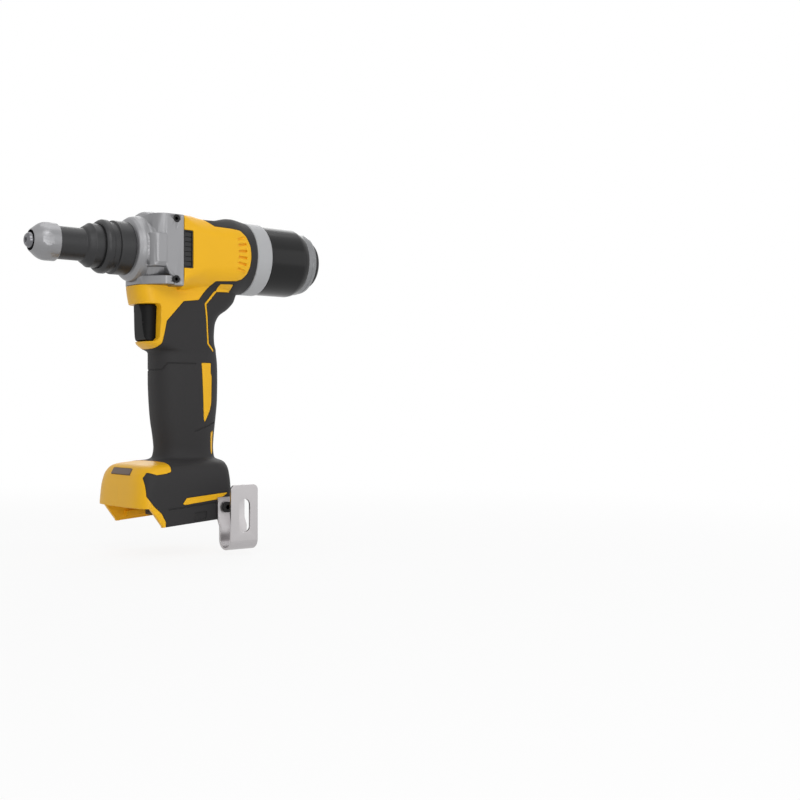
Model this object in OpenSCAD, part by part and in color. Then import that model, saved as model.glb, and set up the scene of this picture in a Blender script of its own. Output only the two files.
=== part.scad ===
// Battery rivet tool: a pistol-grip puller with a coaxial hollow motor and a rear mandrel collector.
// Millimetres, +Z up. X runs along the barrel from the nose mouth (x = 0) to the collector.
// The parting plane of the housing is y = 0 and the left side of the tool faces -Y.

/* [Nose] */
// Radius of the mandrel hole in the nose tip
mandrel_hole_r = 1.7; // [1.2:0.1:2.6]
// Outer radius of the bright nose cone
cone_r = 13.8; // [13:0.1:15]
// Rear end of the nose cone
cone_end_x = 20.8; // [19:0.1:23]
// Outer radius of the nose tube
tube_r = 12; // [11.6:0.1:13]
// Bore radius of the nose tube, in which the pulling head slides
tube_bore_r = 9.4; // [9.2:0.1:10]
// How far the nose collar stands out past the step before it
step_depth = 3.7; // [3:0.1:4.5]
// Outer radius of the nose collar
collar_r = 20; // [19.4:0.1:21]
// Radial running clearance of sliding and turning pieces
run_gap = 0.3; // [0.15:0.05:0.5]
// Gap between pieces that touch or are screwed together
seat_gap = 0.05; // [0.02:0.01:0.1]

/* [Pulling head] */
// Stroke of the pulling head
stroke = 24; // [16:1:25]
// Advance of the pull screw in one turn of the ball nut
screw_lead = 4; // [2:0.5:6]
// Outer radius of the pull screw
screw_r = 6; // [5.6:0.1:6.2]
// Half angle of the jaw cone in degrees
jaw_angle = 13; // [10:0.5:14]
// Inner radius between the open jaws
jaw_bore_r = 2.2; // [1.8:0.1:2.4]
// Outer radius of the mandrel tube
duct_r = 3.2; // [2.8:0.1:3.3]

/* [Gear stage] */
// Gear module
gear_m = 0.8; // [0.7:0.05:0.8]
// Radius of the planet pins
pin_r = 2; // [1.6:0.1:2.2]
// Running clearance of a planet on its pin
pin_gap = 0.05; // [0.02:0.01:0.1]

/* [Motor] */
// Room round the pull screw in the hollow rotor shaft
shaft_room = 0.9; // [0.6:0.1:1.2]
// Wall of the hollow rotor shaft
shaft_wall = 2.1; // [1.7:0.1:2.5]
// Depth of the rotor core round its shaft
rotor_depth = 5.6; // [4.8:0.1:6.4]
// Depth of the stator core round the rotor
stator_depth = 9.3; // [8:0.1:10.5]

/* [Housing] */
// From the stator to the round of the barrel
barrel_wall = 8.1; // [7:0.1:9.5]
// Depth of the flats on the barrel's sides
side_flat = 2.5; // [2:0.1:3]
// Depth of the flats on the barrel's top and bottom
top_flat = 1.9; // [1.5:0.1:2.4]
// How far the barrel's corners fill out at the gear case
corner_fill = 6.2; // [5:0.1:7]
// Front plane of the barrel, against the gear case
barrel_front_x = 110.2; // [110:0.1:111]
// Rear plane of the barrel, against the rear ring
barrel_rear_x = 177.3; // [176:0.1:178]
// Thickness of the rubber overmould
grip_t = 1.5; // [1:0.1:2]
// Gap round the edges of the rubber
grip_gap = 0.15; // [0.1:0.05:0.3]
// Gap between the two housing halves
parting_gap = 0.1; // [0.04:0.02:0.2]
// Forward tilt of the foot in degrees
foot_tilt = 4.5; // [3:0.5:6]
// Half width of the battery socket
socket_half = 35.4; // [34.5:0.1:36]
// Wall of the foot beside the battery socket
foot_wall = 3.8; // [3.2:0.1:4.4]
// Travel of the trigger
trigger_travel = 6; // [4:0.5:7]
// Half width of the trigger
trigger_half = 10.4; // [9:0.1:11]

/* [Collector] */
// Outer radius of the rear ring
ring_r = 28.8; // [28.2:0.1:29.5]
// Outer radius of the collector cup
cup_r = 28; // [27:0.1:28.4]
// Twist that frees the collector, in degrees
twist_deg = 40; // [30:1:45]

/* [Belt hook] */
// Thickness of the hook strip
hook_t = 2; // [1.6:0.1:2.2]
// Width of the hook strip
hook_w = 23.5; // [20:0.5:25]
// Distance of the outer leaf from the foot's side
hook_reach = 20.5; // [17:0.5:23]
// Radius of the threaded hole for the hook screw
hook_hole_r = 2.1; // [1.9:0.1:2.5]

/* [Hidden] */
$fn = 48;
sun_teeth = 27;
planet_teeth = 12;
ring_teeth = sun_teeth + 2 * planet_teeth;
carrier_r = gear_m * (sun_teeth + planet_teeth) / 2;
ring_gear_r = gear_m * ring_teeth / 2 + 2.6;
head_r = tube_bore_r - run_gap;
foot_x = 127;
foot_z = -180;
hook_x = 133.5;
hook_screw_x = 140.6;
hook_screw_z = -194.6;
foot_half = socket_half + foot_wall;
step_r = collar_r - step_depth;
shaft_bore_r = screw_r + shaft_room;
shaft_r = shaft_bore_r + shaft_wall;
rotor_r = shaft_r + rotor_depth;
stator_r = rotor_r + run_gap + stator_depth;
barrel_r = stator_r + barrel_wall;
barrel_half = barrel_r - side_flat;
barrel_top = barrel_r - top_flat;
// Flat underside of the gear case, and the top of the neck below it
case_floor = 5.3 - barrel_r;
neck_top = case_floor - 0.4;
// Half width and rear end of the chamber in the foot that holds the control board
chamber_half = 31;
chamber_rear_x = 146.6;
// Clamp screws of the housing, as x and z
SCREW_AT = [[147, -40], [114, -84], [140, -98], [114.5, -138], [138.5, -147]];
// Gear case screws, as side and height
case_screw_x = 104.4;
CASE_SCREW_AT = [[-1, -22.6], [-1, 22.6], [1, -22.6], [1, 22.6]];
// Rear face of the trigger and front face of the switch behind it
trigger_back_x = 101.6;
switch_x = trigger_back_x + trigger_travel + 3.2;

// Shared helpers

// Turns a child drawn along Z so that it runs along the barrel, starting at x
module along_x(x = 0) {
  translate([x, 0, 0]) rotate([0, 90, 0]) children();
}

// A tube along the barrel
module tube_x(x0, x1, r, bore) {
  along_x(x0) difference() {
    cylinder(h = x1 - x0, r = r);
    translate([0, 0, -1]) cylinder(h = x1 - x0 + 2, r = bore);
  }
}

// A turned piece from pairs of radius and x
module turned(pts) {
  along_x() rotate_extrude($fn = 96) polygon(pts);
}

// A prism across the tool from a side outline in x and z
module side_prism(pts, y0, y1) {
  translate([0, y1, 0]) rotate([90, 0, 0]) linear_extrude(height = y1 - y0) polygon(pts);
}

// Turns a child about the foot's centre into the plane of the foot
module tilted() {
  translate([foot_x, 0, foot_z]) rotate([0, -foot_tilt, 0]) translate([-foot_x, 0, -foot_z]) children();
}

// A box from its low corner to its high corner
module span_box(a, b) {
  translate(a) cube(b - a);
}

// Outline of a gear: add and ded in modules, thick is 1 for half a pitch
function gear_pts(teeth, add, ded, thick) = let(
  rp = gear_m * teeth / 2,
  ro = rp + add * gear_m,
  rr = rp - ded * gear_m,
  hp = 90 / teeth * thick,
  ht = hp - atan(add * gear_m * tan(20) / rp),
  hr = hp + atan(ded * gear_m * tan(20) / rp)
) [for (i = [0:teeth - 1]) for (p = [[rr, -hr], [ro, -ht], [ro, ht], [rr, hr]])
  [p[0] * cos(i * 360 / teeth + p[1]), p[0] * sin(i * 360 / teeth + p[1])]];

// Triangles of a closed loft with m rings of n points
function loft_faces(n, m) = concat(
  [for (j = [0:m - 2]) for (i = [0:n - 1]) each [
    [j * n + i, j * n + (i + 1) % n, (j + 1) * n + i],
    [j * n + (i + 1) % n, (j + 1) * n + (i + 1) % n, (j + 1) * n + i]
  ]],
  [[for (i = [0:n - 1]) n - 1 - i], [for (i = [0:n - 1]) (m - 1) * n + i]]
);

// A coil along X: one unbroken tube from x0, curls turns of the given pitch
module coil(x0, r, wire, pitch, curls) {
  steps = 10 * curls;
  pts = [for (j = [0:steps]) for (i = [0:5]) let(
    a = 36 * j,
    rr = r + wire * cos(60 * i + 30)
  ) [x0 + wire + pitch * j / 10 + wire * sin(60 * i + 30), rr * cos(a), rr * sin(a)]];
  polyhedron(points = pts, faces = loft_faces(6, steps + 1));
}

// Nose

module nose_tip() {
  color("dimgray") union() {
    turned([
      [mandrel_hole_r, 0], [3.1, 0], [3.6, 0.4], [3.6, 3], [5, 3], [5, 13.2], [4.2, 14],
      [mandrel_hole_r, 14]
    ]);
    intersection() {
      turned([[3.4, 0.3], [6.9, 4.2], [6.9, 5.9], [3.4, 5.9]]);
      along_x() rotate([0, 0, 30]) cylinder(h = 8, r = 6.9, $fn = 6);
    }
  }
}

module nose_cone() {
  color("silver") intersection() {
    turned([
      [7.5, 3.6], [8.1, 3.9], [9.6, 6], [11.2, 8], [12.6, 10.2], [13.4, 12.4], [cone_r, 14.6],
      [cone_r, cone_end_x - 0.8], [cone_r - 0.8, cone_end_x], [tube_r - 0.9, cone_end_x],
      [tube_r - 0.9, 14.1], [5.05, 14.1], [5.05, 6], [7.5, 6]
    ]);
    union() {
      along_x(-1) rotate([0, 0, 30]) cylinder(h = 17, r = (cone_r - 0.5) / cos(30), $fn = 6);
      along_x(15.6) cylinder(h = 10, r = cone_r + 1);
    }
  }
}

module nose_tube() {
  color([0.1, 0.1, 0.11]) turned([
    [tube_bore_r, 14.2], [tube_r - 0.95, 14.2], [tube_r - 0.95, cone_end_x + 0.1],
    [tube_r, cone_end_x + 0.1], [tube_r, 42], [tube_r + 1.4, 43.2], [step_r - 1, 46.2], [step_r, 47.6],
    [step_r, 62], [collar_r - 2.4, 62], [collar_r - 2.4, 72], [collar_r - 6, 72], [collar_r - 6, 80],
    [tube_bore_r, 80]
  ]);
}

module nose_collar() {
  color([0.13, 0.13, 0.14]) turned([
    [step_r + 0.1, 54.4], [collar_r - 1.8, 54.4], [collar_r - 0.6, 56], [collar_r, 57.4],
    [collar_r, 60.2], [collar_r - 1.5, 61], [collar_r - 1.5, 65], [collar_r, 65.8], [collar_r, 77.1],
    [collar_r - 2.25, 77.1], [collar_r - 2.25, 61.9], [step_r + 0.1, 61.9]
  ]);
}

// Pulling head

// Inner radius of the jaw cone at x
function jaw_cone_r(x) = 4 + (x - 16.6) * tan(jaw_angle);

module jaw_housing() {
  color("slategray") turned([
    [3.4, 15.2], [head_r - 1.2, 15.2], [head_r, 16.6], [head_r, 46], [screw_r + seat_gap, 46],
    [screw_r + seat_gap, 41.2], [7.4, 41.2], [7.4, 16.6 + 3.4 / tan(jaw_angle)], [4, 16.6], [3.4, 16.6]
  ]);
}

// One of three tapered jaws, serrated inside
module jaw(turn) {
  color("lightsteelblue") along_x() rotate([0, 0, turn]) translate([0.7, 0, 0]) rotate([0, 0, -53])
    rotate_extrude(angle = 106, $fn = 60) polygon(concat(
      [[jaw_cone_r(18.8) - 0.75, 18.8], [jaw_cone_r(29.6) - 0.75, 29.6], [jaw_bore_r + 0.9, 29.6]],
      [for (i = [5:-1:0]) each [
        [jaw_bore_r - 0.2, 20.6 + 1.5 * i], [jaw_bore_r - 0.7, 19.6 + 1.5 * i]
      ]]
    ));
}

module jaw_1() {
  jaw(0);
}

module jaw_2() {
  jaw(120);
}

module jaw_3() {
  jaw(240);
}

module jaw_pusher() {
  color("gray") turned([
    [3, 30], [6.2, 30], [6.8, 32.6], [6.8, 34], [4.6, 34], [4.6, 37.6], [3, 37.6]
  ]);
}

module jaw_spring() {
  color("silver") coil(34.1, 5.8, 0.55, 1.6, 3.6);
}

// A hollow screw; rings at the pitch of its lead stand for the thread
module pull_screw() {
  color("gainsboro") union() {
    turned([
      [duct_r + run_gap, 41.3], [screw_r, 41.3], [screw_r, 72], [screw_r - 0.5, 72.5],
      [screw_r - 0.5, 99.6 + stroke], [screw_r - 0.9, 100 + stroke], [duct_r + run_gap, 100 + stroke]
    ]);
    for (i = [0:floor((24 + stroke) / screw_lead)]) turned([
      [screw_r - 0.7, 73 + i * screw_lead], [screw_r, 73.6 + i * screw_lead],
      [screw_r, 75 + i * screw_lead], [screw_r - 0.7, 75.6 + i * screw_lead]
    ]);
  }
}

module ball_nut() {
  color("lightslategray") turned([
    [screw_r + 0.06, 86.2], [13, 86.2], [13.4, 86.6], [13.4, 92], [12.6, 92.6], [12.6, 98],
    [11, 98], [11, 102.4], [screw_r + 0.06, 102.4]
  ]);
}

module thrust_bearing() {
  color("silver") {
    tube_x(80.2, 81.8, 16.6, screw_r + 1);
    tube_x(84.2, 85.9, 16.6, screw_r + 1);
    for (i = [0:11]) rotate([30 * i, 0, 0]) translate([83, 12, 0]) sphere(r = 1.15, $fn = 24);
  }
}

// Gear stage and motor

module planet_carrier() {
  color("slategray") {
    tube_x(98.2, 102.4, 19.4, 11.05);
    for (i = [0:2]) rotate([120 * i, 0, 0]) translate([0, 0, carrier_r]) along_x(102)
      cylinder(h = 8, r = pin_r);
  }
}

module planet(turn) {
  color("darkgray") rotate([turn, 0, 0]) translate([0, 0, carrier_r]) along_x(102.8) rotate([0, 0, 15])
    linear_extrude(height = 6.4) difference() {
      polygon(gear_pts(planet_teeth, 0.8, 1.15, 0.8));
      circle(r = pin_r + pin_gap);
    }
}

module planet_1() {
  planet(0);
}

module planet_2() {
  planet(120);
}

module planet_3() {
  planet(240);
}

module ring_gear() {
  color("gray") along_x(102.6) linear_extrude(height = 7) difference() {
    circle(r = ring_gear_r);
    polygon(gear_pts(ring_teeth, 1.2, 0.75, 1.22));
  }
}

module rotor_shaft() {
  color("gainsboro") {
    tube_x(109, 172.6, shaft_r, shaft_bore_r);
    along_x(103) linear_extrude(height = 6.2) difference() {
      rotate([0, 0, 180 / sun_teeth]) polygon(gear_pts(sun_teeth, 0.8, 1.15, 0.8));
      circle(r = shaft_bore_r);
    }
  }
}

module rotor_core() {
  color("dimgray") along_x(122) linear_extrude(height = 30) difference() {
    circle(r = rotor_r);
    circle(r = shaft_r + seat_gap);
    for (i = [0:7]) rotate([0, 0, 45 * i]) translate([rotor_r - 3.4, -3]) square([1.6, 6]);
  }
}

module stator_core() {
  color("lightgray") along_x(121) linear_extrude(height = 32) difference() {
    circle(r = stator_r);
    difference() {
      circle(r = stator_r - 3);
      for (i = [0:5]) rotate([0, 0, 60 * i + 30]) translate([rotor_r + run_gap, -2.6]) square([9, 5.2]);
      difference() {
        circle(r = rotor_r + run_gap + 1.6);
        for (i = [0:5]) rotate([0, 0, 60 * i]) translate([0, -1.2]) square([20, 2.4]);
      }
    }
    circle(r = rotor_r + run_gap);
  }
}

module stator_windings() {
  color("peru") for (i = [0:5]) rotate([60 * i + 30, 0, 0]) difference() {
    span_box([118.6, -4.6, rotor_r + run_gap + 2], [155.4, 4.6, stator_r - 3.6]);
    span_box([120.8, -2.75, 0], [153.2, 2.75, 30]);
  }
}

module cooling_fan() {
  color([0.2, 0.2, 0.2]) {
    tube_x(156.4, 163.4, shaft_r + 2, shaft_r + seat_gap);
    tube_x(161.8, 163.4, 22.6, shaft_r + 1);
    for (i = [0:8]) rotate([40 * i, 0, 0]) span_box([157, -0.7, shaft_r + 1.5], [162.2, 0.7, 22]);
  }
}

// Inner race, outer race and balls of one rotor bearing
module ball_bearing(x) {
  tube_x(x, x + 6, shaft_r + 2.2, shaft_r + seat_gap);
  tube_x(x, x + 6, 16, 13.8);
  for (i = [0:7]) rotate([45 * i, 0, 0]) translate([x + 3, 12.5, 0]) sphere(r = 1.2, $fn = 24);
}

module rotor_bearings() {
  color("silver") {
    ball_bearing(111.8);
    ball_bearing(166.4);
  }
}

module motor_bracket() {
  color([0.25, 0.25, 0.27]) turned([
    [16.05, 111.6], [stator_r + 0.2, 111.6], [stator_r + 0.2, 118.4], [12.4, 118.4], [12.4, 117.9],
    [16.05, 117.9]
  ]);
}

module mandrel_tube() {
  color("silver") tube_x(39 + stroke, 188.8, duct_r, duct_r - 0.6);
}

// Gear case

module gear_case() {
  back = barrel_front_x - 0.2;
  corner = barrel_r + corner_fill + 0.4;
  color([0.72, 0.73, 0.75]) difference() {
    union() {
      turned([
        [collar_r - 5.85, 72.2], [collar_r - 2.4, 72.2], [collar_r - 2.4, 77.3], [collar_r + 1, 77.3],
        [22.8, 78.8], [24.9, 81.6], [26.5, 85], [27.5, 88.2], [28.4, 89.4], [29.8, 90.8], [30.6, 92.6],
        [30.8, 94.6], [30.6, 97], [29.8, 98.8], [28.6, 99.8], [28.6, back], [10, back], [10, 85]
      ]);
      intersection() {
        union() {
          along_x(93.4) cylinder(h = 6, r1 = barrel_r - 2.6, r2 = corner);
          along_x(99.4) cylinder(h = back - 99.4, r = corner);
        }
        span_box([90, -barrel_half, case_floor], [120, barrel_half, barrel_top - 0.2]);
      }
      intersection() {
        span_box([86.2, -barrel_half - 0.7, -12], [95.6, barrel_half + 0.7, 11]);
        along_x(80) cylinder(h = 20, r = barrel_r);
      }
      translate([0, 0, case_floor]) linear_extrude(height = 7) polygon([
        [78.6, -12], [81, -16], [88, -19.5], [96.4, -28], [108, -barrel_half], [108, barrel_half],
        [96.4, 28], [88, 19.5], [81, 16], [78.6, 12]
      ]);
    }
    along_x(60) cylinder(h = 20.1, r = collar_r - 5.85);
    along_x(80.05) cylinder(h = 18, r = 16.9);
    along_x(97.9) cylinder(h = 20, r = ring_gear_r + seat_gap);
    span_box([60, -60, -80], [130, 60, case_floor]);
    case_tongues(0.2);
    for (p = CASE_SCREW_AT) translate([case_screw_x, 0, p[1]]) rotate([-90 * p[0], 0, 0]) {
      cylinder(h = 60, r = 1.75);
      translate([0, 0, barrel_half - 2.6]) cylinder(h = 20, r = 3.6);
    }
  }
}

// Tongues of the housing that reach into the gear case, grown by grow
module case_tongues(grow, sides = [-1, 1]) {
  inner = sqrt(pow(stator_r + 0.8, 2) - pow(19.6, 2));
  for (s = sides) for (t = [-1, 1]) {
    ys = [s * (inner - grow), s * (barrel_half - 4.4 + grow)];
    zs = [t * (19.6 - grow), t * (25 + grow)];
    span_box([99.6 - grow, min(ys), min(zs)], [113, max(ys), max(zs)]);
  }
}

module gear_case_screws() {
  color([0.12, 0.12, 0.12]) for (p = CASE_SCREW_AT) translate([case_screw_x, 0, p[1]])
    rotate([-90 * p[0], 0, 0]) difference() {
      union() {
        translate([0, 0, barrel_half - 2.55]) cylinder(h = 2.2, r = 3.3);
        translate([0, 0, barrel_half - 11]) cylinder(h = 9, r = 1.5);
      }
      translate([0, 0, barrel_half - 1.6]) cylinder(h = 3, r = 1.6, $fn = 6);
    }
}

// Housing

// Plan sections of neck, handle and foot: z, front, front centre, rear centre, rear, half width, powers
SECTIONS = [
  [neck_top, 82, 100, 140, 166, 17, 2.8, 2.4],
  [-36, 83, 101, 140, 162.5, 18, 2.8, 2.4],
  [-42, 84.6, 102, 138, 158.5, 18.4, 2.8, 2.4],
  [-48, 86, 103, 134, 154.6, 18.8, 2.8, 2.4],
  [-55, 87.4, 104, 131, 151.8, 19, 2.8, 2.4],
  [-64, 88.8, 106, 130, 150.8, 19, 2.8, 2.4],
  [-70, 90, 108, 130, 151.4, 18.8, 2.7, 2.4],
  [-74, 94, 114, 130, 152.2, 18.6, 2.6, 2.4],
  [-77.5, 99.4, 122, 129, 152.8, 18.4, 2.5, 2.4],
  [-86, 99.4, 124, 128, 153.8, 18.8, 2.5, 2.4],
  [-98, 99.4, 125, 128, 154, 19, 2.5, 2.4],
  [-113, 100, 125, 128, 153.8, 18.8, 2.5, 2.4],
  [-128, 101.2, 125, 128, 152.4, 18.2, 2.5, 2.4],
  [-141, 103.2, 126, 128, 151, 17.6, 2.5, 2.4],
  [-150, 104.2, 126, 128, 150.4, 17.4, 2.5, 2.4],
  [-154, 103, 125, 128, 150.6, 18.6, 2.5, 2.4],
  [-156.6, 98, 121, 128, 151, 21, 2.5, 2.5],
  [-158.2, 86, 112, 130, 151.2, foot_half - 14.2, 2.9, 2.6],
  [-160, 79.4, 102, 132, 151.4, foot_half - 10.4, 3.3, 2.8],
  [-163, 75.6, 97, 134, 151.6, foot_half - 6.4, 3.8, 3],
  [-167, 73.2, 94, 136, 151.8, foot_half - 2.8, 4.4, 3],
  [-172, 72.6, 92, 138, 152, foot_half - 1, 4.8, 3],
  [-178, 72, 91, 140, 152.2, foot_half - 0.3, 5, 3],
  [-186, 71.2, 91, 141, 152.2, foot_half, 5, 3],
  [-204.5, 70, 91, 141, 151.6, foot_half - 0.6, 5, 3]
];
HALF_RING = 16;

// One quadrant pair of a rounded section, from one side round its end to the other side
function end_arc(c, reach, w, power, dir) = [for (i = [0:HALF_RING]) let(
  t = -90 + (i + 0.25) * 180 / (HALF_RING + 0.5),
  cx = pow(max(0, cos(t)), 2 / power),
  sy = sign(sin(t)) * pow(abs(sin(t)), 2 / power)
) [c + dir * reach * cx, dir * w * sy]];

// One ring of the loft, drawn in by inset and sheared into the plane of the foot
function ring_pts(s, inset) = let(
  lean = tan(foot_tilt) * min(1, max(0, (-s[0] - 142) / 16)),
  plan = concat(
    end_arc(s[3], s[4] - inset - s[3], s[5] - inset, s[7], 1),
    end_arc(s[2], s[2] - s[1] - inset, s[5] - inset, s[6], -1)
  )
) [for (p = plan) [p[0], p[1], s[0] + lean * (p[0] - foot_x)]];

// The neck, handle and foot in one lofted solid
module handle_form(inset = 0, lift = 0) {
  last = len(SECTIONS) - 1;
  n = 2 * (HALF_RING + 1);
  rows = [for (i = [0:last]) let(s = SECTIONS[i]) concat(
    [s[0] - (i == 0 ? inset : 0) + (i == last ? lift : 0)], [for (k = [1:7]) s[k]]
  )];
  polyhedron(points = [for (s = rows) each ring_pts(s, inset)], faces = loft_faces(n, last + 1));
}

// The barrel: a turned body with flat sides, top and bottom
module barrel_form(inset = 0, reach = 0) {
  r = barrel_r - inset;
  intersection() {
    turned([
      [0, barrel_front_x + inset], [r + corner_fill, barrel_front_x + inset], [r + 3, 119], [r + 0.8, 128],
      [r, 136], [r, 158], [r - 0.8, 165], [r - 2.2, 171], [r - 3.6, barrel_rear_x + reach],
      [0, barrel_rear_x + reach]
    ]);
    span_box(
      [100, -barrel_half + inset, -barrel_top + inset], [190, barrel_half - inset, barrel_top - inset]
    );
  }
}

module body_form(inset = 0, lift = 0, reach = 0) {
  barrel_form(inset, reach);
  handle_form(inset, lift);
}

// Side outlines that stay plain housing: barrel and neck, foot hood, and ribs that show in the rubber
module plain_zones(side, grow) {
  y0 = side < 0 ? -60 : 0;
  translate([0, y0 + 60, 0]) rotate([90, 0, 0]) linear_extrude(height = 60) offset(delta = grow) {
    polygon([
      [60, 60], [137, 60], [139.5, 25], [148, 23], [159, 22.4], [164.6, 19.6], [167.6, 11], [168, 0],
      [166.8, -11.5], [163.6, -18.6], [158, -21.4], [138, -23], [128.4, -39], [115.6, -40], [102.4, -54],
      [101.2, -60], [99.2, -70.6], [96.4, -74.8], [91, -76.8], [60, -76.8]
    ]);
    polygon([
      [40, -150], [99.6, -150], [101.4, -164.6], [96, -166.4], [87.5, -168.6], [78.5, -167.2], [73.4, -171],
      [76.6, -187], [83.6, -192.6], [90, -206], [90, -225], [40, -225]
    ]);
    polygon([[137, -25.6], [154, -27.6], [151, -32.6], [141.4, -31.2]]);
    polygon([
      [142.2, -30.6], [135.4, -40], [137, -57], [138, -70.4], [144.6, -76.6], [144.6, -74.4], [139.4, -69.6],
      [138.3, -57], [136.8, -40.4], [144, -31]
    ]);
    polygon([
      [132.6, -85], [141.6, -85], [141.4, -93], [142.4, -95], [142.2, -116], [140.8, -121.6], [136, -131],
      [135, -128]
    ]);
    polygon([[142.8, -139], [145.6, -137], [145.6, -153], [144, -156], [143.2, -154]]);
    polygon([[104.8, -191.2], [108.2, -186.6], [144.4, -183.6], [136.4, -188.4], [107.4, -191.6]]);
  }
}

// Hollows of the housing and of the rubber over it
module hollows() {
  along_x(100) cylinder(h = 66.2, r = stator_r + 0.3);
  along_x(160) cylinder(h = 12.6, r = 16.05);
  along_x(172.5) cylinder(h = 10, r = 20);
  for (s = [-1, 1]) span_box([110, s < 0 ? -40 : 20, -14.4], [116.4, s < 0 ? -20 : 40, 13.2]);
  for (s = [-1, 1]) for (i = [0:5]) translate([161.5 + 2.2 * sin(30 * i + 15), s * 26, 12.6 - 5.1 * i])
    rotate([0, -18 + 7 * i, 0]) cube([2, 12, 3.4], center = true);
  span_box([102, -14.2, -72], [141, 14.2, -31]);
  translate([127, 0, -168]) linear_extrude(height = 98) scale([19.4 / 13.6, 1]) circle(r = 13.6, $fn = 64);
  span_box([70, -trigger_half - run_gap, -69.4], [104, trigger_half + run_gap, -41.2]);
  side_prism([[70, -41.2], [96.6, -41.2], [98, -43], [97.2, -66.6], [94.6, -69.4], [70, -69.4]], -40, 40);
  translate([134, 0, -35]) cylinder(h = 14, r = 4);
  tilted() {
    span_box([84, -23, -170], [chamber_rear_x, 23, -163.4]);
    span_box([80, -chamber_half, -186.6], [chamber_rear_x, chamber_half, -168.4]);
    span_box([40, -socket_half, -230], [133, socket_half, -189.6]);
  }
  side_prism([[40, -230], [40, -193.6], [77.4, -193.6], [86.6, -206.6], [86.6, -230]], -60, 60);
  lens_at() cube([5.5, 30.3, 5], center = true);
  translate([hook_screw_x, -foot_half - 10.8, hook_screw_z]) rotate([-90, 0, 0])
    cylinder(h = 20, r = hook_hole_r);
}

// Places a child on the hood, at the work light
module lens_at() {
  translate([77.4, 0, -168.1]) rotate([0, -47, 0]) children();
}

// Bosses of the clamp screws, tongues for the gear case and rails of the battery socket, on one side
module inner_ribs(side) {
  for (p = SCREW_AT) translate([p[0], side < 0 ? 0 : 12, p[1]]) rotate([90, 0, 0])
    cylinder(h = 12, r = 4.4);
  difference() {
    case_tongues(0, [side]);
    for (p = CASE_SCREW_AT) translate([case_screw_x, 0, p[1]]) rotate([-90 * side, 0, 0])
      cylinder(h = 60, r = 1.55);
  }
  tilted() span_box(
    [94, side < 0 ? -socket_half - 1 : socket_half - 3.6, -201.4],
    [133.5, side < 0 ? -socket_half + 3.6 : socket_half + 1, -197.2]
  );
}

// One half of the housing
module housing(side) {
  difference() {
    union() {
      difference() {
        union() {
          body_form(grip_t + seat_gap, 0.1, -0.2);
          intersection() {
            body_form();
            plain_zones(side, 0);
          }
        }
        hollows();
      }
      inner_ribs(side);
    }
    span_box([0, side < 0 ? -parting_gap / 2 : -80, -260], [260, side < 0 ? 80 : parting_gap / 2, 80]);
    for (p = SCREW_AT) translate([p[0], 0, p[1]]) rotate([90, 0, 0]) {
      if (side < 0) cylinder(h = 11.2, r = 1.55);
      else translate([0, 0, -30]) cylinder(h = 30, r = 1.75);
      if (side > 0) translate([0, 0, -40]) cylinder(h = 30, r = 3.4);
    }
  }
}

module left_housing() {
  color([0.96, 0.72, 0.1]) housing(-1);
}

module right_housing() {
  color([0.96, 0.72, 0.1]) housing(1);
}

// The rubber over one half of the housing
module grip(side) {
  difference() {
    body_form(0, 0, -0.1);
    body_form(grip_t, -3, 2);
    plain_zones(side, grip_gap);
    hollows();
    span_box([0, side < 0 ? -parting_gap / 2 : -80, -260], [260, side < 0 ? 80 : parting_gap / 2, 80]);
    if (side > 0) for (p = SCREW_AT) translate([p[0], 40, p[1]]) rotate([90, 0, 0])
      cylinder(h = 30, r = 3.4);
  }
}

module left_grip() {
  color([0.16, 0.16, 0.17]) grip(-1);
}

module right_grip() {
  color([0.16, 0.16, 0.17]) grip(1);
}

module housing_screws() {
  color([0.1, 0.1, 0.1]) for (p = SCREW_AT) translate([p[0], 0, p[1]]) rotate([90, 0, 0]) difference() {
    union() {
      translate([0, 0, -10.4]) cylinder(h = 21, r = 1.5);
      translate([0, 0, -12.9]) cylinder(h = 2.85, r = 3.1);
    }
    translate([0, 0, -14]) cylinder(h = 3, r = 1.5, $fn = 6);
  }
}

module exhaust_grilles() {
  color([0.08, 0.08, 0.08]) for (s = [-1, 1]) difference() {
    span_box(
      [110.4, s < 0 ? 0.6 - barrel_half : barrel_half - 4.6, -14.2],
      [116.2, s < 0 ? 4.6 - barrel_half : barrel_half - 0.6, 13]
    );
    for (i = [0:6]) span_box(
      [111.6, s < 0 ? -40 : 20, -12.6 + 3.7 * i], [115, s < 0 ? -20 : 40, -10.8 + 3.7 * i]
    );
  }
}

// Trigger group

module trigger() {
  color([0.11, 0.11, 0.12]) union() {
    intersection() {
      side_prism([
        [86.6, -41.6], [trigger_back_x, -41.6], [trigger_back_x, -69], [94, -69], [90.6, -68.4],
        [89.4, -66], [88.6, -60], [88.2, -54], [87.9, -48]
      ], -trigger_half, trigger_half);
      translate([0, 0, -80]) linear_extrude(height = 50) union() {
        translate([96, -trigger_half]) square([10, 2 * trigger_half]);
        translate([96, 0]) scale([1, trigger_half / 10]) circle(r = 10, $fn = 64);
      }
    }
    along_x(trigger_back_x - 0.6) translate([54, 0, 0]) cylinder(h = switch_x - trigger_back_x - 2, r = 2.4);
  }
}

module trigger_spring() {
  color("silver") translate([0, 0, -54]) coil(101.7, 3.6, 0.45, 1.9, 4.2);
}

module trigger_switch() {
  color([0.2, 0.2, 0.22]) difference() {
    union() {
      span_box([switch_x, -12, -71], [136, 12, -44]);
      span_box([118, -9, -44.5], [130, 9, -38]);
    }
    along_x(100) translate([54, 0, 0]) cylinder(h = 20, r = 2.7);
  }
}

// Foot

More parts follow.
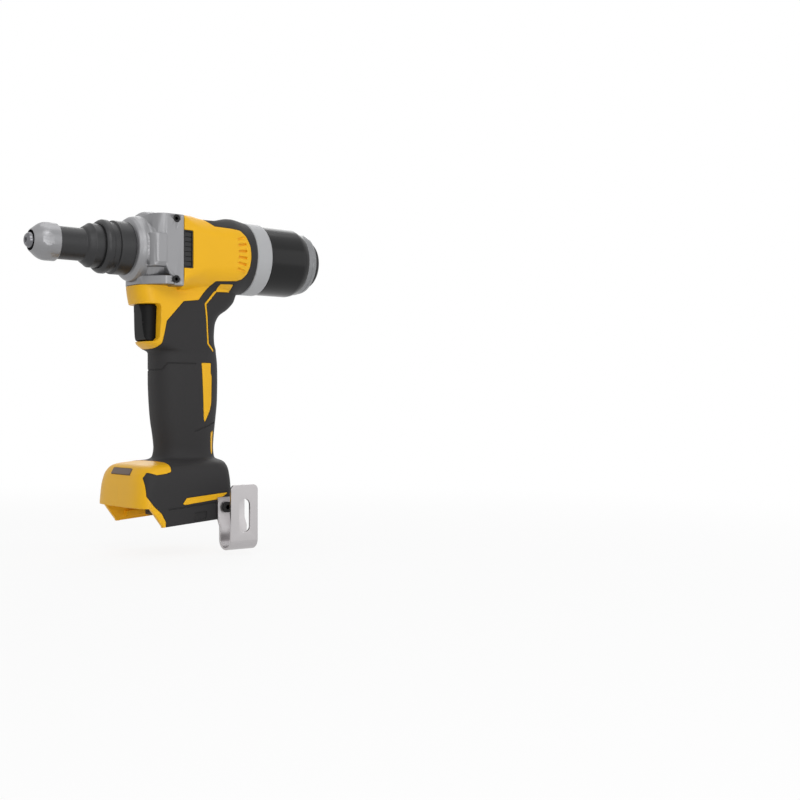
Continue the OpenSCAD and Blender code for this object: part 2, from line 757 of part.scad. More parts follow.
module control_board() {
  color("darkgreen") tilted() {
    span_box(
      [92, run_gap - chamber_half, -175.8], [chamber_rear_x - run_gap, chamber_half - run_gap, -174.2]
    );
    for (i = [0:2]) span_box([100 + 12 * i, -14, -174.4], [108 + 12 * i, -4, -171]);
    for (s = [0, 1]) translate([104 + 26 * s, 11, -174.4]) cylinder(h = 7, r = 4.5);
  }
}

module work_light_lens() {
  color("gray") lens_at() cube([5.2, 30, 4.6], center = true);
}

module terminal_block() {
  color([0.12, 0.12, 0.12]) tilted() difference() {
    span_box([102, -17, -200], [132.7, 17, -189.65]);
    for (i = [-2:2]) span_box([90, 6.2 * i - 0.55, -198.4], [128, 6.2 * i + 0.55, -191.4]);
  }
}

module terminal_blades() {
  color("gold") tilted() for (i = [-2:2])
    span_box([106, 6.2 * i - 0.4, -198.2], [127.9, 6.2 * i + 0.4, -191.6]);
}

// Belt hook: one bent strip, drawn as its side outline in y and z
module belt_hook() {
  f = -foot_half - 0.1;
  o = f - hook_reach;
  c = (o + f - 3.2) / 2;
  rb = (f - 3.2 - o) / 2;
  color("lightgray") difference() {
    translate([hook_x, 0, 0]) rotate([90, 0, 90]) linear_extrude(height = hook_w) polygon(concat(
      [[f, -187], [f, -203.6], [f - 3.2, -210.4]],
      [for (i = [0:16]) [c + rb * cos(11.25 * i), -221 - rb * sin(11.25 * i)]],
      [[o, -177], [o + hook_t, -177]],
      [for (i = [16:-1:0]) [c + (rb - hook_t) * cos(11.25 * i), -221 - (rb - hook_t) * sin(11.25 * i)]],
      [[f - 3.2 - hook_t, -210], [f - hook_t, -203.2], [f - hook_t, -187]]
    ));
    translate([hook_screw_x, f + 5, hook_screw_z]) rotate([90, 0, 0]) cylinder(h = 12, r = hook_hole_r + 0.2);
    translate([hook_x + hook_w / 2, o + 10, -192.4]) rotate([90, 0, 0]) cylinder(h = 12, r = 4.8);
    translate([hook_x + hook_w / 2, o + 10, -209.6]) rotate([90, 0, 0]) cylinder(h = 12, r = 4.8);
    span_box([hook_x + hook_w / 2 - 4.8, o - 2, -209.6], [hook_x + hook_w / 2 + 4.8, o + 10, -192.4]);
    for (s = [0, 1]) difference() {
      translate([hook_x + s * hook_w - 4, o - 1, -181]) cube([8, hook_t + 2, 8]);
      translate([hook_x + (s == 0 ? 4 : hook_w - 4), o + 10, -181]) rotate([90, 0, 0])
        cylinder(h = 20, r = 4);
      translate([hook_x + (s == 0 ? 4 : hook_w - 12), o - 2, -190]) cube([8, 10, 20]);
    }
  }
}

module hook_screw() {
  f = -foot_half - 0.1 - hook_t;
  color([0.1, 0.1, 0.1]) translate([hook_screw_x, f, hook_screw_z]) rotate([90, 0, 0]) difference() {
    union() {
      translate([0, 0, -10]) cylinder(h = 10.2, r = hook_hole_r - 0.05);
      translate([0, 0, 0.05]) cylinder(h = 2.6, r = 4);
    }
    translate([0, 0, 1]) cylinder(h = 3, r = 2, $fn = 6);
  }
}

// Collector

module rear_ring() {
  color([0.62, 0.63, 0.64]) difference() {
    turned([
      [duct_r + seat_gap, 179], [18, 179], [18, 173.4], [19.6, 173.4], [19.6, 177.5], [ring_r - 0.6, 177.5],
      [ring_r, 178.2], [ring_r, 190.6], [ring_r - 0.6, 191.2], [ring_r - 6.2, 191.2], [ring_r - 6.2, 182],
      [duct_r + seat_gap, 182]
    ]);
    for (i = [0:2]) rotate([120 * i, 0, 0]) {
      along_x(184) rotate([0, 0, -6]) {
        rotate_extrude(angle = twist_deg + 24, $fn = 90) translate([ring_r - 6.8, 0]) square([2.6, 3.4]);
        rotate([0, 0, twist_deg + 0.5]) rotate_extrude(angle = 23, $fn = 90)
          translate([ring_r - 6.8, 0.4]) square([2.5, 8]);
      }
    }
    for (i = [0:5]) rotate([60 * i, 0, 0]) along_x(178) translate([12, 0, 0]) cylinder(h = 6, r = 3);
  }
}

module collector_cup() {
  color([0.05, 0.05, 0.06]) {
    turned([
      [ring_r - 8.4, 183], [ring_r - 6.5, 183], [ring_r - 6.5, 191.5], [cup_r - 0.5, 191.5], [cup_r, 192],
      [cup_r, 222], [cup_r - 0.7, 225.4], [cup_r - 2, 228.6], [cup_r - 4.6, 228.6], [cup_r - 4.6, 226],
      [cup_r - 2.6, 221], [cup_r - 2.6, 194.5], [ring_r - 8.4, 194.5]
    ]);
    for (i = [0:2]) rotate([120 * i, 0, 0]) along_x(184.5) rotate([0, 0, -2])
      rotate_extrude(angle = 16, $fn = 90) translate([ring_r - 6.8, 0]) square([2.2, 2.4]);
  }
}

module collector_cap() {
  color([0.75, 0.76, 0.78]) turned([
    [cup_r - 9.7, 222.4], [cup_r - 4.8, 222.4], [cup_r - 4.8, 228.7], [cup_r - 2.2, 228.7],
    [cup_r - 2.2, 231.6], [cup_r - 3.4, 232.2], [cup_r - 3.4, 233.4], [cup_r - 3, 233.8],
    [cup_r - 3.6, 236.4], [cup_r - 5, 237.6], [cup_r - 9.7, 237.6]
  ]);
}

module collector_plug() {
  color([0.06, 0.06, 0.06]) turned([
    [0, 234], [cup_r - 9.8, 234], [cup_r - 9.8, 237.7], [cup_r - 8, 237.7], [cup_r - 8, 241.6],
    [cup_r - 9.2, 243.2], [cup_r - 16, 244.6], [0, 245]
  ]);
}

// Build

nose_tip();
nose_cone();
nose_tube();
nose_collar();
jaw_housing();
jaw_1();
jaw_2();
jaw_3();
jaw_pusher();
jaw_spring();
pull_screw();
ball_nut();
thrust_bearing();
planet_carrier();
planet_1();
planet_2();
planet_3();
ring_gear();
rotor_shaft();
rotor_core();
stator_core();
stator_windings();
cooling_fan();
rotor_bearings();
motor_bracket();
mandrel_tube();
gear_case();
gear_case_screws();
left_housing();
right_housing();
left_grip();
right_grip();
housing_screws();
exhaust_grilles();
trigger();
trigger_spring();
trigger_switch();
control_board();
work_light_lens();
terminal_block();
terminal_blades();
belt_hook();
hook_screw();
rear_ring();
collector_cup();
collector_cap();
collector_plug();
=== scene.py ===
"""Looks of a battery rivet tool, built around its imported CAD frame. Millimetres unless a name ends in _m."""

import math

import bmesh
import bpy
import numpy as np
from mathutils import Matrix, Vector


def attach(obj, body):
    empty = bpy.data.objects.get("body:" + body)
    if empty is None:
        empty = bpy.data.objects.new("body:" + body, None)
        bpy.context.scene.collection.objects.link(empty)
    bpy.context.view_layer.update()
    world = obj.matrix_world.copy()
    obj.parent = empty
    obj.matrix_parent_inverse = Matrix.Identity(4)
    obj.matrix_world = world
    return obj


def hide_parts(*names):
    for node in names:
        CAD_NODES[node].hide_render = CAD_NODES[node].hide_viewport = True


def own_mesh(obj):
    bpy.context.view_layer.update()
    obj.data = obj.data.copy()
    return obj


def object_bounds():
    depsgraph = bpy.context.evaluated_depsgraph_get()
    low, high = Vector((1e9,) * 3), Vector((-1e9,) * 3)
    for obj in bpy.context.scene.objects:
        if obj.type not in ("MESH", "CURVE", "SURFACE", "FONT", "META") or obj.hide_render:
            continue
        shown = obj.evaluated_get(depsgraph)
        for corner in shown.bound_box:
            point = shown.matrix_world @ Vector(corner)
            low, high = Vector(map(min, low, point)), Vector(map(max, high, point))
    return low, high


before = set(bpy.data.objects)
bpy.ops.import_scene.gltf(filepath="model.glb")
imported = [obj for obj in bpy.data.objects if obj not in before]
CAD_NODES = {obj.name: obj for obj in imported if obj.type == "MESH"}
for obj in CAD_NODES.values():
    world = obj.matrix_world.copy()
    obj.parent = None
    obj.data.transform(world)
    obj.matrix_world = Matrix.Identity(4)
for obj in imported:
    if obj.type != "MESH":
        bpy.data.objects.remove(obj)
CAD_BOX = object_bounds()

bl_info = {
    "name": "Battery rivet tool",
    "version": (1, 0, 0),
    "blender": (4, 5, 0),
    "location": "3D View > Sidebar > Rivet tool",
    "description": "Builds the shells, rubber, metal and stage of a battery rivet tool",
    "category": "Object",
}

MM = 0.001

# Sizes shared by the pieces

FOOT_TILT = 4.5
FOOT_PIVOT = (127.0, -180.0)
FOOT_HALF = 39.2
BARREL_R = 32.3
BARREL_HALF = 29.8
BARREL_LOW = 30.4
CASE_TOP = 25.4
CASE_FLOOR = -28.2
BARREL_FRONT = 111.2
BARREL_REAR = 177.3
GRIP_T = 1.5
SEAT = 0.05
SOCKET_HALF = 35.4
TRIGGER_HALF = 10.4
RING_SEAT = 23.05
HOOK_SCREW = (140.6, -194.6)
HOOK_HOLD = -199.0
HOOK_DRAW = 0.881
CORNER_FILL = 6.2
SCRAP_AREA = 0.5
# Screws of the two halves as x and z, and of the gear case as side and height
CLAMP_SCREWS = [(147, -40), (114, -84), (140, -98), (114.5, -138), (138.5, -147)]
CASE_SCREW_X = 104.6
CASE_SCREWS = [(-1, -23.4), (-1, 22), (1, -23.4), (1, 22)]

# Neck, handle and foot in plan: z, front, front centre, rear centre, rear, half width, powers
SECTIONS = [
    (-21.5, 110.4, 117, 140, 172, 22.0, 9, 2.4),
    (-24, 110.4, 117, 140, 172, 20.8, 9, 2.4),
    (-26, 110.4, 117, 140, 172, 19.3, 9, 2.4),
    (-27.35, 110.4, 117, 140, 172, 18.5, 9, 2.4),
    (-27.4, 82, 100, 140, 172, 18.5, 2.8, 2.4),
    (-29.5, 82, 100, 140, 171.7, 17.8, 2.8, 2.4),
    (-32, 82.3, 100, 140, 170.9, 17.6, 2.8, 2.4),
    (-36, 83, 101, 140, 169, 18, 2.8, 2.4),
    (-42, 84.6, 102, 138, 163, 18.4, 2.8, 2.4),
    (-48, 86, 103, 134, 154.4, 18.8, 2.8, 2.4),
    (-55, 87.4, 104, 131, 151, 19, 2.8, 2.4),
    (-64, 88.8, 106, 130, 150.3, 19, 2.8, 2.4),
    (-70, 90, 108, 130, 150.9, 18.8, 2.7, 2.4),
    (-74, 94, 114, 130, 152.2, 18.6, 2.6, 2.4),
    (-77.5, 99.4, 122, 129, 152.8, 18.4, 2.5, 2.4),
    (-86, 99.4, 124, 128, 153.8, 18.8, 2.5, 2.4),
    (-98, 99.4, 125, 128, 154, 19, 2.5, 2.4),
    (-113, 100, 125, 128, 153.8, 18.8, 2.5, 2.4),
    (-128, 101.2, 125, 128, 152.4, 18.2, 2.5, 2.4),
    (-141, 103.2, 126, 128, 151, 17.6, 2.5, 2.4),
    (-150, 104.2, 126, 128, 150.4, 17.4, 2.5, 2.4),
    (-157, 103.2, 125, 128, 150.8, 18.8, 2.5, 2.4),
    (-158.8, 100, 122, 128, 151, 21, 2.5, 2.5),
    (-159.6, 94, 117, 129, 151.2, 24.4, 2.7, 2.7),
    (-160.2, 87, 110, 130, 151.4, 27.6, 3, 2.9),
    (-160.9, 79.8, 103, 132, 151.6, FOOT_HALF - 8.8, 3.4, 3),
    (-162.1, 76.7, 98, 134, 151.8, FOOT_HALF - 6.2, 3.8, 3),
    (-164.2, 75, 95, 135, 152, FOOT_HALF - 3.8, 4.2, 3),
    (-167, 73.6, 94, 136, 152.2, FOOT_HALF - 1.8, 4.5, 3),
    (-172, 72.6, 92, 138, 152.2, FOOT_HALF - 0.6, 4.8, 3),
    (-178, 72, 91, 140, 152.2, FOOT_HALF - 0.2, 5, 3),
    (-186, 71.2, 91, 141, 152.2, FOOT_HALF, 5, 3),
    (-204.5, 70, 91, 141, 151.6, FOOT_HALF - 0.6, 5, 3),
]

# Side outlines that stay yellow, as x and z
ZONES = [
    [(60, 60), (130, 60), (132.6, 25), (139.7, 19.8), (153.8, 19.5), (162.3, 18.6), (166.7, 14.1), (169.9, 6.5),
     (170.6, -1.2), (169.9, -9), (167.9, -15.3), (164.3, -19.3), (159.8, -20.9), (142.1, -22), (138.4, -26.5),
     (130.1, -36.8), (117.2, -38.4), (102.4, -54), (101.2, -60), (99.2, -70.6), (96.4, -74.8), (91, -76.8),
     (60, -76.8)],
    [(40, -158), (96.4, -159), (97.6, -160.4), (97.6, -163.8), (96.6, -166.8), (92.6, -168), (84.8, -168.9),
     (78.8, -166.8), (75.9, -170.8), (76.2, -184.4), (81, -191.4), (87.4, -197), (91, -203.4), (91.4, -225),
     (40, -225)],
    [(147.4, -23.8), (158.5, -23.4), (159, -29.1), (145.3, -29.7)],
    [(144.6, -29.0), (135.4, -39.4), (137, -57), (138, -70.4), (144.6, -76.6), (144.6, -74.4), (139.4, -69.6),
     (138.3, -57), (136.8, -40), (146.8, -29.2)],
    [(132.6, -85), (141.6, -85), (141.4, -93), (142.4, -95), (142.2, -116), (140.8, -121.6), (136, -131),
     (135, -128)],
    [(142.8, -139), (145.6, -137), (145.6, -153), (144, -156), (143.2, -154)],
    [(104.8, -191.2), (108.2, -186.6), (144.4, -183.6), (136.4, -188.4), (107.4, -191.6)],
]

# Top of the barrel along x: low behind the gear case, rising under the bumper
RIDGE = [
    (110, 25.4), (116, 26.3), (121, 26.7), (126, 26), (131, 25.4), (138, 25.3), (144, 25.6), (150, 27.2),
    (156, 28.9), (163, 29.6), (179, 29.2),
]

# Lines pressed into the rubber, as x and z
GRIP_LINES = [
    [(94, -90.6), (102.6, -90.6), (105.2, -85.8), (127.4, -85.8)],
    [(127, -137.8), (133, -135.6), (147, -130.6)],
    [(93, -194.5), (152, -189.4)],
]
FOOT_RECESS = [(115, -198), (125.4, -196.8), (125, -203), (114.6, -204.2)]


# Closed meshes and their combinations


def solid(name, verts, faces):
    """A closed mesh object in metres from points in millimetres, with its faces outwards."""
    mesh = bpy.data.meshes.new(name)
    mesh.from_pydata([tuple(c * MM for c in v) for v in verts], [], faces)
    work = bmesh.new()
    work.from_mesh(mesh)
    bmesh.ops.remove_doubles(work, verts=work.verts, dist=1e-8)
    bmesh.ops.recalc_face_normals(work, faces=work.faces)
    work.to_mesh(mesh)
    work.free()
    obj = bpy.data.objects.new(name, mesh)
    bpy.context.scene.collection.objects.link(obj)
    return obj


def drop(*objs):
    """Deletes helpers that are used up."""
    for obj in objs:
        mesh = obj.data
        bpy.data.objects.remove(obj)
        bpy.data.meshes.remove(mesh)


def settle(obj):
    """Turns an object with live modifiers into a plain mesh."""
    graph = bpy.context.evaluated_depsgraph_get()
    mesh = bpy.data.meshes.new_from_object(obj.evaluated_get(graph))
    old = obj.data
    obj.modifiers.clear()
    obj.data = mesh
    bpy.data.meshes.remove(old)
    return obj


def combine(base, how, tools):
    """Joins, cuts or keeps the base by closed tools, which are used up."""
    for tool in tools:
        step = base.modifiers.new("step", "BOOLEAN")
        step.operation = how
        step.solver = "MANIFOLD"
        step.object = tool
    settle(base)
    drop(*tools)
    if len(base.data.polygons) == 0:
        raise RuntimeError(f"nothing is left of {base.name} after {how}")
    return base


def join(base, *tools):
    return combine(base, "UNION", tools)


def cut(base, *tools):
    return combine(base, "DIFFERENCE", tools)


def keep(base, *tools):
    return combine(base, "INTERSECT", tools)


def copy_of(obj):
    """A second object with its own mesh."""
    twin = bpy.data.objects.new(obj.name, obj.data.copy())
    bpy.context.scene.collection.objects.link(twin)
    return twin


def merge(base, *others):
    """Puts the meshes of others into the base without a boolean."""
    work = bmesh.new()
    for obj in (base, *others):
        work.from_mesh(obj.data)
    work.to_mesh(base.data)
    work.free()
    drop(*others)
    return base


def ring_faces(count, rows, closed):
    """Faces between rings of points, with flat ends unless the rows close on themselves."""
    faces = []
    for row in range(rows if closed else rows - 1):
        after = (row + 1) % rows
        for i in range(count):
            k = (i + 1) % count
            faces.append((row * count + i, row * count + k, after * count + k, after * count + i))
    if not closed:
        faces.append(tuple(range(count - 1, -1, -1)))
        faces.append(tuple((rows - 1) * count + i for i in range(count)))
    return faces


def fillet(points, radius, steps=4, closed=True):
    """Rounds the corners of an outline; radius is one number or one for each corner."""
    radii = list(radius) if isinstance(radius, (list, tuple)) else [radius] * len(points)
    out = []
    count = len(points)
    for i, here in enumerate(points):
        if (not closed and i in (0, count - 1)) or radii[i] <= 0:
            out.append(tuple(here))
            continue
        p = Vector(here)
        a = Vector(points[i - 1]) - p
        b = Vector(points[(i + 1) % count]) - p
        if min(a.length, b.length) < 1e-6:
            continue
        bend = a.angle(b)
        if abs(math.pi - bend) < 0.02:
            out.append(tuple(here))
            continue
        reach = min(radii[i] / math.tan(bend / 2), a.length * 0.48, b.length * 0.48)
        start = p + a.normalized() * reach
        end = p + b.normalized() * reach
        for k in range(steps + 1):
            t = k / steps
            spot = start * (1 - t) ** 2 + p * 2 * t * (1 - t) + end * t * t
            out.append(tuple(spot))
    return out


def lathe(name, profile, sides=128, radius=0.0):
    """A turned piece along X from pairs of radius and x."""
    line = fillet(profile, radius) if radius else list(profile)
    verts = []
    for r, x in line:
        for i in range(sides):
            a = 2 * math.pi * i / sides
            verts.append((x, r * math.cos(a), r * math.sin(a)))
    return solid(name, verts, ring_faces(sides, len(line), True))


def tube(name, x0, x1, r, bore, sides=96):
    return lathe(name, [(bore, x0), (r, x0), (r, x1), (bore, x1)], sides)


def rod(start, axis, length, r, sides=48):
    """A round bar from a start point along x, y or z."""
    spin = {"x": (1, 2), "y": (2, 0), "z": (0, 1)}[axis]
    along = "xyz".index(axis)
    verts = []
    for step in (0, length):
        for i in range(sides):
            a = 2 * math.pi * i / sides
            p = list(start)
            p[along] += step
            p[spin[0]] += r * math.cos(a)
            p[spin[1]] += r * math.sin(a)
            verts.append(tuple(p))
    return solid("rod", verts, ring_faces(sides, 2, False))


def block(low, high):
    """A box between two corners."""
    x = (low[0], high[0])
    y = (low[1], high[1])
    z = (low[2], high[2])
    ring = [(0, 0), (1, 0), (1, 1), (0, 1)]
    verts = [(x[i], y[j], z[k]) for k in (0, 1) for i, j in ring]
    return solid("block", verts, ring_faces(4, 2, False))


def prism(outline, low, high, across="y"):
    """An outline drawn through the object: x and z across y, or y and z across x, or x and y across z."""
    verts = []
    for end in (low, high):
        for a, b in outline:
            verts.append({"y": (a, end, b), "x": (end, a, b), "z": (a, b, end)}[across])
    return solid("prism", verts, ring_faces(len(outline), 2, False))


def placed(obj, matrix):
    """Moves a helper's points."""
    obj.data.transform(matrix)
    return obj


def turned_to(place, turn_deg, axis):
    """The matrix that turns about an axis and then moves to a place in millimetres."""
    return Matrix.Translation(Vector(place) * MM) @ Matrix.Rotation(math.radians(turn_deg), 4, axis)


def tilted(obj):
    """Turns a helper into the plane of the foot."""
    pivot = Vector((FOOT_PIVOT[0], 0, FOOT_PIVOT[1])) * MM
    turn = Matrix.Rotation(math.radians(-FOOT_TILT), 4, "Y")
    return placed(obj, Matrix.Translation(pivot) @ turn @ Matrix.Translation(-pivot))


def mend(work):
    """Deletes loose scraps and closes the small holes that cutting and rounding leave."""
    left = set(work.faces)
    scraps = []
    while left:
        first = left.pop()
        island = [first]
        for face in island:
            for edge in face.edges:
                if len(edge.link_faces) == 2:
                    fresh = [f for f in edge.link_faces if f in left]
                    left.difference_update(fresh)
                    island.extend(fresh)
        if sum(face.calc_area() for face in island) < SCRAP_AREA * MM * MM:
            scraps += island
    bmesh.ops.delete(work, geom=scraps, context="FACES")
    bmesh.ops.holes_fill(work, edges=[e for e in work.edges if e.is_boundary], sides=12)
    bmesh.ops.triangulate(work, faces=[f for f in work.faces if len(f.verts) > 4])


def soften(obj, width=0.0, above=28.0, segments=2):
    """Rounds sharp edges a little, then shades smooth with the sharp edges kept."""
    work = bmesh.new()
    work.from_mesh(obj.data)
    bmesh.ops.remove_doubles(work, verts=work.verts, dist=1.5e-5)
    bmesh.ops.dissolve_degenerate(work, edges=work.edges, dist=1e-6)
    if width:
        off_plane = {v for v in work.verts if abs(v.co.y) > 1e-4}
        free = [e for e in work.edges if e.verts[0] in off_plane or e.verts[1] in off_plane]
        bmesh.ops.dissolve_limit(
            work, angle_limit=math.radians(0.4), verts=list(off_plane), edges=free, delimit={"NORMAL"}
        )
        limit = math.radians(above)
        edges = [
            e for e in work.edges
            if len(e.link_faces) == 2 and e.calc_face_angle() > limit and max(abs(v.co.y) for v in e.verts) > 1e-4
        ]
        bmesh.ops.bevel(
            work, geom=edges, offset=width * MM, offset_type="OFFSET", segments=segments, profile=0.5,
            affect="EDGES", clamp_overlap=False, loop_slide=True,
        )
    bmesh.ops.triangulate(work, faces=[f for f in work.faces if len(f.verts) > 4])
    bmesh.ops.remove_doubles(work, verts=work.verts, dist=1e-6)
    mend(work)
    for face in work.faces:
        face.smooth = True
    work.to_mesh(obj.data)
    work.free()
    obj.data.set_sharp_from_angle(angle=math.radians(32))
    even = obj.modifiers.new("even", "WEIGHTED_NORMAL")
    even.keep_sharp = True
    return settle(obj)


# Materials


class Tap:
    """A socket of a material, on which shader maths is written as Python expressions."""

    def __init__(self, tree, socket):
        self.tree = tree
        self.socket = socket

    def node(self, kind, settings=None, out=0, **values):
        """Adds a node with its settings, then the values or links of its sockets."""
        made = self.tree.nodes.new(kind)
        for key, value in (settings or {}).items():
            if key == "stops":
                ramp = made.color_ramp
                while len(ramp.elements) < len(value):
                    ramp.elements.new(0.5)
                for element, (place, shade) in zip(ramp.elements, value):
                    element.position = place
                    element.color = (*shade, 1.0) if isinstance(shade, tuple) else (shade,) * 3 + (1.0,)
            else:
                setattr(made, key, value)
        for key, value in values.items():
            name = int(key[2:]) if key[:2] == "in" and key[2:].isdigit() else key.replace("_", " ").title()
            entry = made.inputs[name]
            if isinstance(value, Tap):
                self.tree.links.new(value.socket, entry)
            elif isinstance(value, list):
                for tap in value:
                    self.tree.links.new(tap.socket, entry)
            else:
                entry.default_value = value
        return Tap(self.tree, made.outputs[out])

    def maths(self, operation, a, b):
        return self.node("ShaderNodeMath", {"operation": operation}, in0=a, in1=b)

    def __add__(self, other):
        return self.maths("ADD", self, other)

    def __radd__(self, other):
        return self.maths("ADD", other, self)

    def __sub__(self, other):
        return self.maths("SUBTRACT", self, other)

    def __rsub__(self, other):
        return self.maths("SUBTRACT", other, self)

    def __mul__(self, other):
        return self.maths("MULTIPLY", self, other)

    def __rmul__(self, other):
        return self.maths("MULTIPLY", other, self)

    def __truediv__(self, other):
        return self.maths("DIVIDE", self, other)


def linear(r, g, b):
    """A colour written as 0 to 255 screen values."""
    out = []
    for c in (r, g, b):
        c = c / 255
        out.append(c / 12.92 if c <= 0.04045 else ((c + 0.055) / 1.055) ** 2.4)
    return tuple(out)


def new_finish(name):
    """An empty material, its surface shader and the place on the piece in millimetres."""
    material = bpy.data.materials.new(name)
    material.use_nodes = True
    tree = material.node_tree
    shader = tree.nodes["Principled BSDF"]
    place = Tap(tree, tree.nodes.new("ShaderNodeTexCoord").outputs["Object"])
    place = place.node("ShaderNodeVectorMath", {"operation": "SCALE"}, scale=1000.0, in0=place)
    return material, shader, place


def feed(shader, name, value):
    """Links a varying value to the shader, or sets a constant on its own socket."""
    entry = shader.inputs[name]
    if isinstance(value, Tap):
        value.tree.links.new(value.socket, entry)
    else:
        entry.default_value = (*value, 1.0) if isinstance(value, tuple) and len(value) == 3 else value


def noise(place, scale, detail=3.0, rough=0.55):
    return place.node(
        "ShaderNodeTexNoise", {"noise_dimensions": "3D"}, vector=place, scale=scale, detail=detail, roughness=rough
    )


def between(mask, low, high):
    """A colour that runs from low to high with the mask."""
    return mask.node(
        "ShaderNodeMix", {"data_type": "RGBA"}, out=2, in0=mask, in6=(*low, 1.0), in7=(*high, 1.0)
    )


def shade(colour, factor):
    return tuple(min(1.0, c * factor) for c in colour)


def bumped(shader, height, strength, distance_mm):
    """A relief that the light shows, from a height between 0 and 1."""
    relief = height.node("ShaderNodeBump", strength=strength, distance=distance_mm * MM, height=height)
    feed(shader, "Normal", relief)


def plastic(name, colour, rough=0.4, grain=2.2, relief=0.05, coat=0.0, spread=0.05, gloss=0.5):
    """Moulded plastic or rubber: slight cloudiness, a fine etched grain and uneven gloss."""
    material, shader, place = new_finish(name)
    cloud = noise(place, 0.035, 2.0)
    etch = noise(place, grain, 2.0, 0.5)
    feed(shader, "Base Color", between(cloud, shade(colour, 1 - spread), shade(colour, 1 + spread)))
    feed(shader, "Roughness", rough - 0.06 + etch * 0.08 + cloud * 0.04)
    feed(shader, "Specular IOR Level", gloss)
    feed(shader, "Coat Weight", coat)
    feed(shader, "Coat Roughness", 0.12)
    bumped(shader, etch, 0.35, relief)
    return material


def metal(name, colour, rough=0.3, metallic=1.0, lines=None, grain=0.0, relief=0.02, spread=0.08):
    """Metal with tool marks along an axis, or a cast grain."""
    material, shader, place = new_finish(name)
    cloud = noise(place, 0.06, 3.0)
    if lines:
        stretch = {"x": (9.0, 0.05, 0.05), "y": (0.05, 9.0, 0.05), "z": (9.0, 9.0, 0.12)}[lines]
        marks = noise(place.node("ShaderNodeMapping", vector=place, scale=stretch), 0.6, 2.0)
    else:
        marks = noise(place, grain or 1.2, 3.0, 0.6)
    feed(shader, "Metallic", metallic)
    feed(shader, "Base Color", between(cloud, shade(colour, 1 - spread), shade(colour, 1 + spread)))
    feed(shader, "Roughness", rough - 0.07 + marks * 0.12 + cloud * 0.03)
    bumped(shader, marks, 0.25, relief)
    return material


# Trees for what repeats


def new_tree(name, sizes):
    """A geometry tree with named inputs, and a tap on each of them."""
    tree = bpy.data.node_groups.new(name, "GeometryNodeTree")
    face = tree.interface
    face.new_socket("Spots", in_out="INPUT", socket_type="NodeSocketGeometry")
    for label in sizes:
        whole = label == "Count"
        socket = face.new_socket(label, in_out="INPUT", socket_type="NodeSocketInt" if whole else "NodeSocketFloat")
        if not whole:
            socket.subtype = "DISTANCE"
    face.new_socket("Mesh", in_out="OUTPUT", socket_type="NodeSocketGeometry")
    start = tree.nodes.new("NodeGroupInput")
    return tree, {out.name: Tap(tree, out) for out in start.outputs if out.name}


def end_tree(shape, spots, material):
    """Sets a shape on each spot along the spot's own axis, as real mesh with its material."""
    axis = shape.node("GeometryNodeInputNamedAttribute", {"data_type": "FLOAT_VECTOR"}, name="axis")
    turn = shape.node("FunctionNodeAlignRotationToVector", {"axis": "Z"}, vector=axis)
    made = shape.node("GeometryNodeInstanceOnPoints", points=spots, instance=shape, rotation=turn)
    made = shape.node("GeometryNodeRealizeInstances", geometry=made)
    made = shape.node("GeometryNodeSetMaterial", geometry=made, material=material)
    end = shape.tree.nodes.new("NodeGroupOutput")
    shape.tree.links.new(made.socket, end.inputs[0])


def lifted(shape, height):
    """A shape moved along its own axis."""
    move = shape.node("ShaderNodeCombineXYZ", z=height)
    return shape.node("GeometryNodeTransform", geometry=shape, translation=move)


def screw_tree(material):
    """Screws with a star recess: the spot is the middle of the head's outer face."""
    tree, size = new_tree(
        "star_screws",
        ("Head radius", "Head height", "Recess radius", "Recess depth", "Shank radius", "Shank length"),
    )
    spots = size["Spots"]
    deep = size["Recess depth"]
    rim = spots.node("GeometryNodeCurvePrimitiveCircle", resolution=48, radius=size["Head radius"])
    star = spots.node(
        "GeometryNodeCurveStar", points=6, inner_radius=size["Recess radius"] * 0.72,
        outer_radius=size["Recess radius"],
    )
    face = spots.node("GeometryNodeJoinGeometry", geometry=[rim, star])
    face = spots.node("GeometryNodeFillCurve", curve=face)
    crown = spots.node("GeometryNodeExtrudeMesh", {"mode": "FACES"}, mesh=face, offset_scale=deep, individual=False)
    rest = size["Head height"] - deep
    base = spots.node("GeometryNodeMeshCylinder", vertices=48, radius=size["Head radius"], depth=rest)
    shank = spots.node(
        "GeometryNodeMeshCylinder", vertices=32, radius=size["Shank radius"], depth=size["Shank length"]
    )
    under = size["Head height"] + size["Shank length"] * 0.5
    parts = [lifted(crown, deep * -1.0), lifted(base, (deep + rest * 0.5) * -1.0), lifted(shank, under * -1.0)]
    end_tree(spots.node("GeometryNodeJoinGeometry", geometry=parts), spots, material)
    return tree


def slat_tree(material):
    """Stacks of slats: the spot is the middle of the stack, and the slats run along X."""
    tree, size = new_tree("slats", ("Count", "Pitch", "Length", "Depth", "Thickness"))
    spots = size["Spots"]
    pitch = size["Pitch"]
    first = spots.node("ShaderNodeCombineXYZ", y=(size["Count"] - 1.0) * pitch * -0.5)
    step = spots.node("ShaderNodeCombineXYZ", y=pitch)
    line = spots.node("GeometryNodeMeshLine", count=size["Count"], start_location=first, offset=step)
    bar = spots.node("ShaderNodeCombineXYZ", x=size["Length"], y=size["Thickness"], z=size["Depth"])
    bar = spots.node("GeometryNodeMeshCube", size=bar)
    row = spots.node("GeometryNodeInstanceOnPoints", points=line, instance=bar)
    end_tree(spots.node("GeometryNodeRealizeInstances", geometry=row), spots, material)
    return tree


